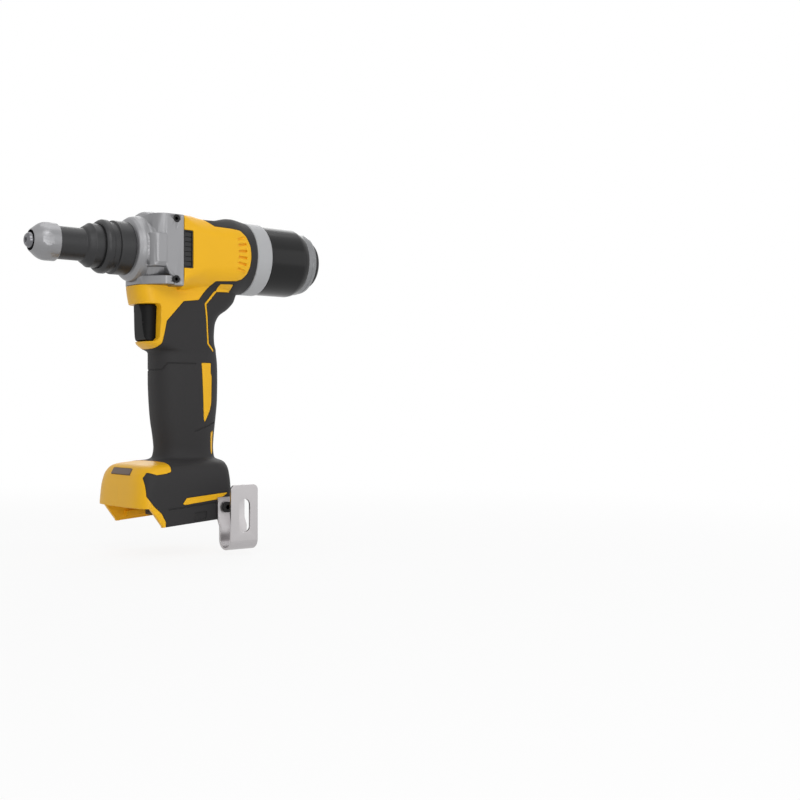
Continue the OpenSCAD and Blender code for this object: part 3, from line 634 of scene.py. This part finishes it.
def grow_tree(name, tree, spots, sizes):
    """A plain mesh that a tree makes on spots, each a place and an axis."""
    mesh = bpy.data.meshes.new(name)
    mesh.from_pydata([tuple(c * MM for c in place) for place, axis in spots], [], [])
    along = mesh.attributes.new("axis", "FLOAT_VECTOR", "POINT")
    along.data.foreach_set("vector", [float(c) for place, axis in spots for c in axis])
    obj = bpy.data.objects.new(name, mesh)
    bpy.context.scene.collection.objects.link(obj)
    repeat = obj.modifiers.new("repeat", "NODES")
    repeat.node_group = tree
    for item in tree.interface.items_tree:
        if item.in_out == "INPUT" and item.name in sizes:
            value = sizes[item.name]
            repeat[item.identifier] = value if item.name == "Count" else value * MM
    settle(obj)
    if len(obj.data.polygons) == 0:
        raise RuntimeError(f"the tree of {name} made nothing")
    return obj


# Main forms


def smooth_rows(table, parts):
    """Rows of a table joined by curves that never overshoot, with so many parts between rows."""
    rows = np.array(table, float)
    step = np.diff(rows, axis=0)
    slope = np.zeros_like(rows)
    same = step[1:] * step[:-1] > 0
    total = np.where(same, step[1:] + step[:-1], 1.0)
    slope[1:-1] = np.where(same, 2 * step[1:] * step[:-1] / total, 0.0)
    slope[0] = step[0]
    slope[-1] = step[-1]
    out = []
    for i in range(len(rows) - 1):
        for k in range(parts):
            t = k / parts
            a = (1 + 2 * t) * (1 - t) ** 2 * rows[i] + t * (1 - t) ** 2 * slope[i]
            b = t * t * (3 - 2 * t) * rows[i + 1] + t * t * (t - 1) * slope[i + 1]
            out.append(a + b)
    out.append(rows[-1])
    return out


def end_arc(centre, reach, half, power, way, steps=40):
    """The rounded end of a plan section, from one side round to the other."""
    points = []
    for i in range(steps + 1):
        t = math.radians(-90 + (i + 0.25) * 180 / (steps + 0.5))
        x = max(0.0, math.cos(t)) ** (2 / power)
        y = math.copysign(abs(math.sin(t)) ** (2 / power), math.sin(t))
        points.append((centre + way * reach * x, way * half * y))
    return points


def handle_form(inset=0.0, lift=0.0):
    """Neck, handle and foot as one lofted solid, drawn in by an inset."""
    verts = []
    rows = smooth_rows(SECTIONS, 4)
    for number, (z, front, front_c, rear_c, rear, half, p_front, p_rear) in enumerate(rows):
        if number == len(rows) - 1:
            z += lift
        lean = math.tan(math.radians(FOOT_TILT)) * min(1.0, max(0.0, (-z - 156) / 14))
        plan = end_arc(rear_c, rear - inset - rear_c, half - inset, p_rear, 1)
        plan += end_arc(front_c, front_c - front - inset, half - inset, p_front, -1)
        verts += [(x, y, z + lean * (x - FOOT_PIVOT[0])) for x, y in plan]
    count = len(verts) // len(rows)
    return solid("handle", verts, ring_faces(count, len(rows), False))


def barrel_form(inset=0.0, reach=0.0):
    """The barrel: a turned body with flat sides that run softly into its corners."""
    r = BARREL_R - inset
    line = [
        (BARREL_FRONT + inset, r + CORNER_FILL), (119, r + 3), (128, r + 0.8), (136, r), (158, r),
        (165, r - 0.8), (171, r - 2.2), (BARREL_REAR + reach - 1.0, r - 3.4), (BARREL_REAR + reach, r - 4.2),
    ]
    rows = smooth_rows(line, 8)
    verts = []
    sides = 192
    for x, radius in rows:
        high = np.interp(x, [p[0] for p in RIDGE], [p[1] for p in RIDGE])
        for i in range(sides):
            a = 2 * math.pi * i / sides
            c = abs(math.cos(a))
            s = abs(math.sin(a))
            inverse = radius**-40
            inverse += (c / (BARREL_HALF - inset)) ** 40
            inverse += (s / (high - inset if math.sin(a) > 0 else BARREL_LOW - inset)) ** 40
            reach_out = inverse ** (-1 / 40)
            verts.append((x, reach_out * math.cos(a), reach_out * math.sin(a)))
    return solid("barrel", verts, ring_faces(sides, len(rows), False))


def body_form(inset=0.0, lift=0.0, reach=0.0):
    return join(barrel_form(inset, reach), handle_form(inset, lift))


def grown(outline, by):
    """An outline moved outwards along its corner bisectors."""
    area = 0.0
    count = len(outline)
    for i in range(count):
        a = outline[i]
        b = outline[(i + 1) % count]
        area += a[0] * b[1] - b[0] * a[1]
    way = 1.0 if area > 0 else -1.0
    out = []
    for i in range(count):
        p = Vector(outline[i])
        before = (p - Vector(outline[i - 1])).normalized()
        after = (Vector(outline[(i + 1) % count]) - p).normalized()
        n0 = Vector((before.y, -before.x)) * way
        n1 = Vector((after.y, -after.x)) * way
        bisector = n0 + n1
        out.append(tuple(p + bisector * (by / max(0.35, 1 + n0.dot(n1)))))
    return out


def plain_zones(grow):
    """Prisms through the tool where the housing shows plain."""
    soft = [fillet(z, 1.6 if len(z) > 12 else 0.7) for z in ZONES]
    return [prism(grown(z, grow), -70, 70) for z in soft]


def stroke(line, width):
    """The outline of a line of the given width."""
    sides = ([], [])
    for i, here in enumerate(line):
        p = Vector(here)
        before = (p - Vector(line[i - 1])).normalized() if i else (Vector(line[1]) - p).normalized()
        after = (Vector(line[i + 1]) - p).normalized() if i < len(line) - 1 else before
        bisector = Vector((before.y + after.y, -before.x - after.x))
        reach = bisector * (width / max(0.6, bisector.length_squared))
        sides[0].append(tuple(p + reach))
        sides[1].append(tuple(p - reach))
    return sides[0] + sides[1][::-1]


def pressed(outlines, depth):
    """Outlines as shallow cutters that follow the surface of the body."""
    skin = cut(body_form(-0.6), body_form(depth))
    made = []
    for outline in outlines:
        made.append(keep(copy_of(skin), prism(outline, -70, 70)))
    drop(skin)
    return made


def hollows():
    """What is open inside the housing and the rubber over it."""
    made = [
        rod((100, 0, 0), "x", 66.2, 24.35, 96),
        rod((160, 0, 0), "x", 12.6, 16.05, 96),
        rod((172.5, 0, 0), "x", 10, 20, 96),
        block((102, -14.2, -72), (141, 14.2, -31)),
        block((70, -TRIGGER_HALF - 0.3, -69.4), (104, TRIGGER_HALF + 0.3, -41.2)),
        prism(
            fillet([(70, -41.2), (96.6, -41.2), (98, -43), (97.2, -66.6), (94.6, -69.4), (70, -69.4)], 1.2),
            -40, 40,
        ),
        rod((134, 0, -35), "z", 14, 4),
        tilted(block((84, -23, -170), (146.6, 23, -163.4))),
        tilted(block((80, -31, -186.6), (146.6, 31, -168.4))),
        tilted(block((40, -SOCKET_HALF, -230), (133, SOCKET_HALF, -189.6))),
        prism([(40, -230), (40, -193.2), (78.4, -193.2), (88.4, -206.6), (88.4, -230)], -60, 60),
        lens_block(5.5, 30.3, 5),
        rod((HOOK_SCREW[0], -50, HOOK_SCREW[1]), "y", 20, 2.1),
    ]
    oval = [
        (127 + 19.4 * math.cos(2 * math.pi * i / 64), 13.6 * math.sin(2 * math.pi * i / 64)) for i in range(64)
    ]
    made.append(prism(oval, -168, -70, "z"))
    for side in (-1, 1):
        low, high = sorted((side * 20, side * 40))
        made.append(prism(
            fillet([(110, -14.4), (119, -14.4), (119, 14.2), (110, 14.2)], [0, 1.2, 1.2, 0]), low, high
        ))
        for i in range(6):
            slot = block((-3.7, -6, -0.9), (3.7, 6, 0.9))
            spot = (161.4 + 1.4 * math.sin(math.radians(30 * i + 15)), side * 33.8, 12.2 - 4.95 * i)
            made.append(placed(slot, turned_to(spot, -18 + 7 * i, "Y")))
    return made


def lens_block(length, width, height):
    """A block on the hood, at the work light."""
    made = block((-length / 2, -width / 2, -height / 2), (length / 2, width / 2, height / 2))
    return placed(made, turned_to((76.7, 0, -167.9), -61, "Y"))


def tongue_box(side, way, slack=0.0):
    """One tongue of a housing half, grown by a slack."""
    low, high = sorted((side * (15.5 - slack), side * (BARREL_HALF - 4.4 + slack)))
    bottom, top = (19.6, 24.9) if way > 0 else (-26, -20.6)
    return block((99.6 - slack, low, bottom - slack), (113, high, top + slack))


def case_tongues(side):
    """Tongues of one half that reach into the gear case, with the bores of its screws."""
    made = []
    for hand, z in CASE_SCREWS:
        if hand == side:
            bore = rod((CASE_SCREW_X, side * 22 - 12, z), "y", 24, 1.55)
            made.append(cut(tongue_box(side, 1 if z > 0 else -1), bore))
    return made


def half_space(side):
    """What is taken away to leave one half of the tool."""
    if side < 0:
        return block((0, -0.05, -260), (260, 80, 80))
    return block((0, -80, -260), (260, 0.05, 80))


def screw_holes(side):
    """Bores of the clamp screws in one half."""
    made = []
    for x, z in CLAMP_SCREWS:
        if side < 0:
            made.append(rod((x, -11.2, z), "y", 11.3, 1.55))
        else:
            made.append(rod((x, -0.1, z), "y", 30, 1.75))
            made.append(rod((x, 10, z), "y", 30, 3.4))
    return made


# Pieces


def show(obj, name, body, slot, material, *nodes):
    """Names a finished piece, gives it its finish and body, and hides the nodes it stands for."""
    obj.name = name
    obj.data.name = name
    obj.data.materials.clear()
    obj.data.materials.append(material)
    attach(obj, body)
    if nodes:
        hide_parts(*nodes)
    return obj


def node_copy(node, width=0.0):
    """A merged copy of a CAD node with softened edges."""
    source = CAD_NODES[node]
    obj = bpy.data.objects.new(node + "_copy", source.data.copy())
    bpy.context.scene.collection.objects.link(obj)
    obj.data.materials.clear()
    work = bmesh.new()
    work.from_mesh(obj.data)
    bmesh.ops.remove_doubles(work, verts=work.verts, dist=2e-6)
    work.to_mesh(obj.data)
    work.free()
    if obj.data.has_custom_normals:
        obj.data.attributes.remove(obj.data.attributes["custom_normal"])
    return soften(obj, width)


class RivetColours(bpy.types.PropertyGroup):
    """Colours that a user would change."""

    shell: bpy.props.FloatVectorProperty(
        name="Shell", description="Colour of the plastic shell", subtype="COLOR", size=3,
        default=linear(247, 187, 24), min=0, max=1,
    )
    rubber: bpy.props.FloatVectorProperty(
        name="Rubber", description="Colour of the rubber over the shell", subtype="COLOR", size=3,
        default=linear(38, 37, 38), min=0, max=1,
    )
    case: bpy.props.FloatVectorProperty(
        name="Gear case", description="Colour of the cast gear case", subtype="COLOR", size=3,
        default=linear(142, 142, 144), min=0, max=1,
    )
    ring: bpy.props.FloatVectorProperty(
        name="Rear ring", description="Colour of the ring in front of the collector", subtype="COLOR", size=3,
        default=linear(180, 181, 183), min=0, max=1,
    )


class RivetSizes(bpy.types.PropertyGroup):
    """Sizes that a user would change."""

    edge: bpy.props.FloatProperty(
        name="Edge rounding", description="Rounding of moulded edges, in millimetres", default=0.35, min=0.0, max=1.0
    )
    lens_mm: bpy.props.FloatProperty(
        name="Camera lens", description="Focal length of the camera", default=54.0, min=20.0, max=120.0
    )
    key_watts: bpy.props.FloatProperty(
        name="Key light", description="Power of the key light", default=6.0, min=0.0, max=100.0, unit="POWER"
    )


def finishes():
    """All materials by name, made once."""
    made = getattr(finishes, "made", None)
    if made is None:
        colours = bpy.context.scene.rivet_colours
        made = {
            "yellow_shell": plastic("yellow_shell", tuple(colours.shell), 0.4, 2.4, 0.03, 0.0, 0.03, 0.3),
            "grip_rubber": plastic("grip_rubber", tuple(colours.rubber), 0.66, 1.5, 0.12, 0.0, 0.1, 0.35),
            "black_plastic": plastic("black_plastic", linear(36, 36, 37), 0.45, 2.0, 0.05, 0.0, 0.05, 0.35),
            "trigger_plastic": plastic("trigger_plastic", linear(11, 11, 12), 0.42, 2.0, 0.04, 0.0, 0.05, 0.13),
            "grey_ring": plastic("grey_ring", tuple(colours.ring), 0.45, 2.2, 0.03, 0.0, 0.03, 0.4),
            "cup_black": plastic("cup_black", linear(10, 10, 11), 0.22, 0.6, 0.006, 0.0, 0.1, 0.3),
            "cap_grey": plastic("cap_grey", linear(136, 137, 139), 0.2, 0.8, 0.006, 0.2, 0.06, 0.4),
            "lens_dark": plastic("lens_dark", linear(96, 76, 62), 0.3, 0.8, 0.006, 0.0, 0.05, 0.3),
            "board": plastic("board", linear(24, 92, 52), 0.35, 1.5, 0.03, 0.3),
            "cast_case": metal("cast_case", tuple(colours.case), 0.42, 0.85, None, 1.4, 0.05, 0.05),
            "nose_steel": metal("nose_steel", linear(142, 142, 144), 0.36, 0.95, "x", 0, 0.004, 0.05),
            "black_metal": metal("black_metal", linear(58, 58, 59), 0.4, 0.7, "x", 0, 0.02, 0.08),
            "dark_steel": metal("dark_steel", linear(112, 112, 115), 0.22, 0.95, "x", 0, 0.004, 0.08),
            "black_screw": metal("black_screw", linear(24, 24, 25), 0.4, 0.5, None, 2.0, 0.02),
            "hook_steel": metal("hook_steel", linear(182, 179, 180), 0.34, 0.95, "z", 0, 0.015, 0.03),
            "steel": metal("steel", linear(180, 180, 184), 0.28, 1.0, "x"),
            "laminate": metal("laminate", linear(128, 128, 132), 0.45, 0.9, "x"),
            "copper": metal("copper", linear(190, 110, 62), 0.3, 1.0, None, 1.5),
            "contact": metal("contact", linear(222, 188, 96), 0.25, 1.0, "z"),
        }
        finishes.made = made
    return made


class RIVET_OT_housing(bpy.types.Operator):
    """Builds the two yellow housing halves"""

    bl_idname = "rivet.housing"
    bl_label = "Housing halves"

    def execute(self, context):
        edge = context.scene.rivet_sizes.edge
        yellow = finishes()["yellow_shell"]
        whole = body_form(GRIP_T + SEAT, 0.1, -0.2)
        for zone in plain_zones(0.0):
            join(whole, keep(body_form(), zone))
        cut(whole, *hollows())
        for side, name in ((-1, "left_housing"), (1, "right_housing")):
            half = copy_of(whole)
            ribs = []
            for x, z in CLAMP_SCREWS:
                ribs.append(rod((x, -12 if side < 0 else 0, z), "y", 12, 4.4))
            low, high = sorted((side * (SOCKET_HALF - 3.6), side * (SOCKET_HALF + 1)))
            ribs.append(tilted(block((94, low, -201.4), (133.5, high, -197.2))))
            join(half, *ribs, *case_tongues(side))
            cut(half, half_space(side), *screw_holes(side))
            soften(half, edge)
            show(half, name + "_shell", "tool", "yellow_shell", yellow, name)
        drop(whole)
        return {"FINISHED"}


class RIVET_OT_grips(bpy.types.Operator):
    """Builds the rubber over the two housing halves"""

    bl_idname = "rivet.grips"
    bl_label = "Rubber grips"

    def execute(self, context):
        edge = context.scene.rivet_sizes.edge
        rubber = finishes()["grip_rubber"]
        whole = cut(body_form(0.0, 0.0, -0.1), body_form(GRIP_T, -3, 2))
        cut(whole, *plain_zones(0.15))
        cut(whole, *hollows())
        cut(whole, *pressed([stroke(line, 0.9) for line in GRIP_LINES], 0.55))
        cut(whole, *pressed([fillet(FOOT_RECESS, 1.2)], 1.1))
        for side, name in ((-1, "left_grip"), (1, "right_grip")):
            half = copy_of(whole)
            tools = [half_space(side)]
            if side > 0:
                tools += [rod((x, 10, z), "y", 30, 3.4) for x, z in CLAMP_SCREWS]
            cut(half, *tools)
            soften(half, edge)
            show(half, name + "_rubber", "tool", "grip_rubber", rubber, name)
        drop(whole)
        return {"FINISHED"}


class RIVET_OT_metal(bpy.types.Operator):
    """Dresses the nose, the gear case and the belt hook"""

    bl_idname = "rivet.metal"
    bl_label = "Metal pieces"

    def execute(self, context):
        made = finishes()
        for node, slot, width in (
            ("nose_tube", "black_metal", 0.2), ("nose_collar", "black_metal", 0.25), ("belt_hook", "hook_steel", 0.3),
        ):
            piece = node_copy(node, width)
            if node == "belt_hook":
                self.shorten(piece)
            show(piece, node + "_finished", "tool", slot, made[slot], node)
        tip = lathe("tip", [
            (1.7, 0.7), (2.5, 0), (3.2, 0), (3.9, 0.3), (4.8, 1.1), (5.4, 2.2), (5.7, 3.6), (5.7, 5.2), (5, 5.9),
            (5, 13.2), (4.2, 14), (1.7, 14),
        ])
        show(soften(tip, 0.15), "nose_tip_finished", "tool", "dark_steel", made["dark_steel"], "nose_tip")
        show(self.cone(), "nose_cone_finished", "tool", "nose_steel", made["nose_steel"], "nose_cone")
        show(self.case(), "gear_case_finished", "tool", "cast_case", made["cast_case"], "gear_case")
        return {"FINISHED"}

    def shorten(self, hook):
        """Draws the lower end of the hook up to its photographed length."""
        for v in hook.data.vertices:
            below = HOOK_HOLD * MM - v.co.z
            if below > 0:
                v.co.z += below * (1 - HOOK_DRAW)

    def cone(self):
        """The nut at the front: a blunt cone, six flats and a round flange."""
        turned = lathe("cone", [
            (7.4, 3.6), (8.1, 3.9), (9.7, 6), (11.3, 8), (12.6, 10), (13.5, 12.2), (13.8, 14.6), (13.8, 21.5),
            (13, 22.3), (12.05, 22.3), (12.05, 20.8), (11.1, 20.8), (11.1, 14.1), (5.05, 14.1), (5.05, 9.4),
            (7.4, 9.4),
        ], 192)
        flats = []
        for i in range(6):
            flat = prism([(5, 11.1), (19, 14.25), (19, 20), (5, 20)], -9, 9)
            flats.append(placed(flat, Matrix.Rotation(math.radians(60 * i + 30), 4, "X")))
        return soften(cut(turned, *flats), 0.3, segments=3)

    def case(self):
        """The cast case: a dome in two swells, a pad and a flange on each side, and a shelf over the neck."""
        dome = lathe("dome", fillet([
            (10, 80), (10, 72.2), (17.6, 72.2), (17.6, 77.3), (21, 77.3), (22.6, 78.4), (24, 80.4), (24.7, 82.6),
            (24.9, 85), (25.1, 86.6), (25.9, 87.8), (27.4, 89), (28.6, 90.6), (29.3, 93), (29.6, 96.5), (29.3, 100),
            (28.4, 103), (27.4, 104.6), (27.4, 111), (10, 111),
        ], [0] * 5 + [0.8] * 13 + [0, 0]), 192)
        pad_plan = [(84.6, -24.6), (86.6, -28), (89.4, -BARREL_HALF - 0.2), (97, -BARREL_HALF - 0.3)]
        pad = self.two_sided(pad_plan, -14.6, 10.4)
        pad = soften(keep(pad, rod((80, 0, 0), "x", 20, BARREL_R - 0.3, 192)), 1.2, segments=4)
        brow_plan = [(87.6, -18), (88.4, -22), (90.6, -26.4), (93.8, -29), (97.4, -BARREL_HALF), (104, -BARREL_HALF)]
        brow = soften(self.two_sided(brow_plan, 9.4, CASE_TOP), 0.9, segments=3)
        side = [
            (96, CASE_TOP), (96, -14), (99, -19.6), (103, -22.4), (103, CASE_FLOOR),
            (BARREL_FRONT - 0.2, CASE_FLOOR), (BARREL_FRONT - 0.2, CASE_TOP),
        ]
        flange = soften(prism(side, -BARREL_HALF, BARREL_HALF), 0.9, segments=3)
        shelf_plan = [(83, -9), (85, -14), (89, -20), (97, -27.6), (108, -BARREL_HALF + 0.2)]
        shelf = soften(self.two_sided(shelf_plan, -27.3, -20.6), 0.8, segments=3)
        whole = join(dome, pad, brow, flange, shelf)
        inner = [
            rod((60, 0, 0), "x", 20.1, 14.15, 96), rod((80.05, 0, 0), "x", 18, 16.9, 96),
            rod((97.9, 0, 0), "x", 20, RING_SEAT, 96),
        ]
        for hand, z in CASE_SCREWS:
            inner.append(tongue_box(hand, 1 if z > 0 else -1, 0.2))
            inner.append(rod((CASE_SCREW_X, hand * (BARREL_HALF + 5.7) - 8, z), "y", 16, 3.0))
        return soften(cut(whole, *inner))

    def two_sided(self, plan, low, high):
        """An upright prism whose plan is given for one side and mirrored to the other."""
        return prism(plan + [(x, -y) for x, y in reversed(plan)], low, high, "z")


class RIVET_OT_fasteners(bpy.types.Operator):
    """Dresses the screws"""

    bl_idname = "rivet.fasteners"
    bl_label = "Screws"

    def execute(self, context):
        black = finishes()["black_screw"]
        tree = screw_tree(black)
        sets = {
            "gear_case_screws": (
                [((CASE_SCREW_X, side * (BARREL_HALF - 0.35), z), (0, side, 0)) for side, z in CASE_SCREWS],
                (2.85, 2.0, 1.6, 1.2, 1.5, 8.45),
            ),
            "housing_screws": (
                [((x, 12.9, z), (0, 1, 0)) for x, z in CLAMP_SCREWS], (3.1, 2.85, 1.6, 1.4, 1.5, 20.6),
            ),
            "hook_screw": (
                [((HOOK_SCREW[0], -FOOT_HALF - 4.75, HOOK_SCREW[1]), (0, -1, 0))], (4.0, 2.6, 2.1, 1.5, 2.05, 10),
            ),
        }
        labels = ("Head radius", "Head height", "Recess radius", "Recess depth", "Shank radius", "Shank length")
        for node, (spots, values) in sets.items():
            screws = soften(grow_tree(node, tree, spots, dict(zip(labels, values))))
            show(screws, node + "_finished", "tool", "black_screw", black, node)
        return {"FINISHED"}


class RIVET_OT_plastics(bpy.types.Operator):
    """Dresses the collector, the rear ring, the trigger, the light and the grilles"""

    bl_idname = "rivet.plastics"
    bl_label = "Plastic pieces"

    def execute(self, context):
        made = finishes()
        for node, body, slot, finish, width in (
            ("rear_ring", "tool", "grey_ring", "grey_ring", 0.25),
            ("collector_cup", "collector", "cup_black", "cup_black", 0.2),
            ("collector_cap", "collector", "cap_grey", "cap_grey", 0.2),
            ("collector_plug", "collector", "black_plastic", "black_plastic", 0.2),
            ("trigger", "trigger", "black_plastic", "trigger_plastic", 0.5),
        ):
            show(node_copy(node, width), node + "_finished", body, slot, made[finish], node)
        lens = soften(lens_block(5.2, 30, 4.6), 0.4)
        show(lens, "work_light_lens_finished", "tool", "lens_dark", made["lens_dark"], "work_light_lens")
        self.grilles(made["black_plastic"])
        return {"FINISHED"}

    def grilles(self, finish):
        """A frame with sunk slats on each side of the barrel."""
        frames = []
        outline = [(111.4, -14.2), (118.8, -14.2), (118.8, 14), (111.4, 14)]
        opening = [(112.2, -13.4), (118, -13.4), (118, 13.2), (112.2, 13.2)]
        for side in (-1, 1):
            low, high = sorted((side * (BARREL_HALF - 4.6), side * (BARREL_HALF - 0.8)))
            floor = sorted((side * (BARREL_HALF - 2.8), side * (BARREL_HALF + 1)))
            frame_side = prism(fillet(outline, [0, 1.1, 1.1, 0]), low, high)
            frames.append(cut(frame_side, prism(fillet(opening, 0.8), *floor)))
        spots = [((115.1, side * (BARREL_HALF - 2.3), -0.1), (0, side, 0)) for side in (-1, 1)]
        sizes = {"Count": 7, "Pitch": 3.7, "Length": 6.2, "Depth": 1.4, "Thickness": 3.1}
        slats = soften(grow_tree("slats", slat_tree(finish), spots, sizes))
        whole = soften(join(frames[0], frames[1]), 0.2)
        merge(whole, slats)
        show(whole, "exhaust_grilles_finished", "tool", "black_plastic", finish, "exhaust_grilles")


class RIVET_OT_inside(bpy.types.Operator):
    """Gives the inner pieces their materials"""

    bl_idname = "rivet.inside"
    bl_label = "Inner pieces"

    def execute(self, context):
        made = finishes()
        groups = {
            "steel": (
                "jaw_1", "jaw_2", "jaw_3", "jaw_spring", "pull_screw", "ball_nut", "thrust_bearing", "planet_1",
                "planet_2", "planet_3", "rotor_shaft", "rotor_bearings", "mandrel_tube",
            ),
            "dark_steel": ("jaw_housing", "jaw_pusher", "planet_carrier", "ring_gear"),
            "laminate": ("rotor_core", "stator_core"),
            "copper": ("stator_windings",),
            "black_plastic": ("cooling_fan", "motor_bracket", "trigger_switch", "terminal_block"),
            "board": ("control_board",),
            "contact": ("terminal_blades",),
        }
        for finish, nodes in groups.items():
            for node in nodes:
                mesh = CAD_NODES[node].data
                mesh.materials.clear()
                mesh.materials.append(made[finish])
        spring = show(
            node_copy("trigger_spring"), "trigger_spring_finished", "tool", "steel", made["steel"], "trigger_spring"
        )
        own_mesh(spring)
        return {"FINISHED"}


class RIVET_OT_stage(bpy.types.Operator):
    """Sets the camera, the floor and the light"""

    bl_idname = "rivet.stage"
    bl_label = "Stage"

    def execute(self, context):
        scene = context.scene
        scene.view_settings.view_transform = "Standard"
        sizes = scene.rivet_sizes
        camera = bpy.data.objects.new("camera", bpy.data.cameras.new("camera"))
        scene.collection.objects.link(camera)
        scene.camera = camera
        camera.data.lens = sizes.lens_mm
        camera.data.sensor_width = 36.0
        camera.location = (-0.339, -0.825, -0.120)
        yaw = math.radians(39.7)
        pitch = math.radians(0.4)
        ahead = Vector((math.sin(yaw) * math.cos(pitch), math.cos(yaw) * math.cos(pitch), math.sin(pitch)))
        camera.rotation_mode = "QUATERNION"
        camera.rotation_quaternion = ahead.to_track_quat("-Z", "Y")
        floor_z = CAD_BOX[0].z / MM - 0.2
        floor = solid("floor", [(-6000, -6000, floor_z), (6000, -6000, floor_z), (6000, 6000, floor_z),
                                (-6000, 6000, floor_z)], [(0, 1, 2, 3)])
        floor.data.materials.append(self.floor_material())
        self.world(scene)
        middle = (CAD_BOX[0] + CAD_BOX[1]) / 2
        for name, place, size, watts in (
            ("key", (-0.55, -1.1, 1.0), 0.9, sizes.key_watts),
            ("front", (-0.5, -1.25, -0.14), 0.8, sizes.key_watts * 1.0),
            ("fill", (0.9, -1.2, 0.3), 1.2, sizes.key_watts * 0.4),
            ("top", (0.1, 0.1, 1.2), 1.0, sizes.key_watts * 0.5),
            ("back", (0.8, 1.0, 0.7), 0.9, sizes.key_watts * 0.7),
        ):
            lamp = bpy.data.objects.new(name, bpy.data.lights.new(name, "AREA"))
            lamp.data.size = size
            lamp.data.energy = watts
            lamp.location = middle + Vector(place)
            lamp.rotation_mode = "QUATERNION"
            lamp.rotation_quaternion = (-Vector(place)).to_track_quat("-Z", "Y")
            scene.collection.objects.link(lamp)
        return {"FINISHED"}

    def floor_material(self):
        """Pale floor, nearly white to the camera, that keeps the shadow."""
        material, shader, place = new_finish("floor")
        feed(shader, "Base Color", (0.86, 0.86, 0.86))
        feed(shader, "Roughness", 0.9)
        tree = material.node_tree
        seen = self.seen_rays(place)
        white = tree.nodes.new("ShaderNodeEmission")
        mix = tree.nodes.new("ShaderNodeMixShader")
        out = tree.nodes["Material Output"]
        away = place.node("ShaderNodeVectorMath", {"operation": "LENGTH"}, out=1, in0=place)
        far = place.node("ShaderNodeMapRange", {"interpolation_type": "SMOOTHSTEP"}, value=away, from_min=350.0,
                         from_max=1000.0)
        tree.links.new((seen * (0.88 + far * 0.12)).socket, mix.inputs[0])
        tree.links.new(shader.outputs[0], mix.inputs[1])
        tree.links.new(white.outputs[0], mix.inputs[2])
        tree.links.new(mix.outputs[0], out.inputs[0])
        return material

    def seen_rays(self, tap):
        """One for rays from the camera and from gloss and glass."""
        path = tap.tree.nodes.new("ShaderNodeLightPath")
        camera = Tap(tap.tree, path.outputs["Is Camera Ray"])
        gloss = Tap(tap.tree, path.outputs["Is Glossy Ray"])
        glass = Tap(tap.tree, path.outputs["Is Transmission Ray"])
        return tap.maths("MAXIMUM", tap.maths("MAXIMUM", camera, gloss), glass)

    def world(self, scene):
        """White to the camera, softer as a light."""
        world = bpy.data.worlds.new("studio")
        scene.world = world
        world.use_nodes = True
        tree = world.node_tree
        back = tree.nodes["Background"]
        back.inputs["Color"].default_value = (1, 1, 1, 1)
        tap = Tap(tree, back.outputs[0])
        strength = 0.36 + self.seen_rays(tap) * 0.64
        tree.links.new(strength.socket, back.inputs["Strength"])


class RIVET_PT_tool(bpy.types.Panel):
    """Lists the steps in the sidebar"""

    bl_idname = "RIVET_PT_tool"
    bl_label = "Rivet tool"
    bl_space_type = "VIEW_3D"
    bl_region_type = "UI"
    bl_category = "Rivet tool"

    def draw(self, context):
        for group in (context.scene.rivet_sizes, context.scene.rivet_colours):
            for key in group.__annotations__:
                self.layout.prop(group, key)
        for step in STEPS:
            self.layout.operator(step.bl_idname)


STEPS = (
    RIVET_OT_stage, RIVET_OT_housing, RIVET_OT_grips, RIVET_OT_metal, RIVET_OT_fasteners, RIVET_OT_plastics,
    RIVET_OT_inside,
)
CLASSES = (RivetColours, RivetSizes, *STEPS, RIVET_PT_tool)


def register():
    for item in CLASSES:
        bpy.utils.register_class(item)
    bpy.types.Scene.rivet_colours = bpy.props.PointerProperty(type=RivetColours)
    bpy.types.Scene.rivet_sizes = bpy.props.PointerProperty(type=RivetSizes)


def unregister():
    del bpy.types.Scene.rivet_sizes
    del bpy.types.Scene.rivet_colours
    for item in reversed(CLASSES):
        bpy.utils.unregister_class(item)


def main():
    """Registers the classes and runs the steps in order."""
    register()
    bpy.ops.rivet.stage()
    bpy.ops.rivet.housing()
    bpy.ops.rivet.grips()
    bpy.ops.rivet.metal()
    bpy.ops.rivet.fasteners()
    bpy.ops.rivet.plastics()
    bpy.ops.rivet.inside()
    bpy.context.view_layer.update()


if __name__ == "__main__":
    main()
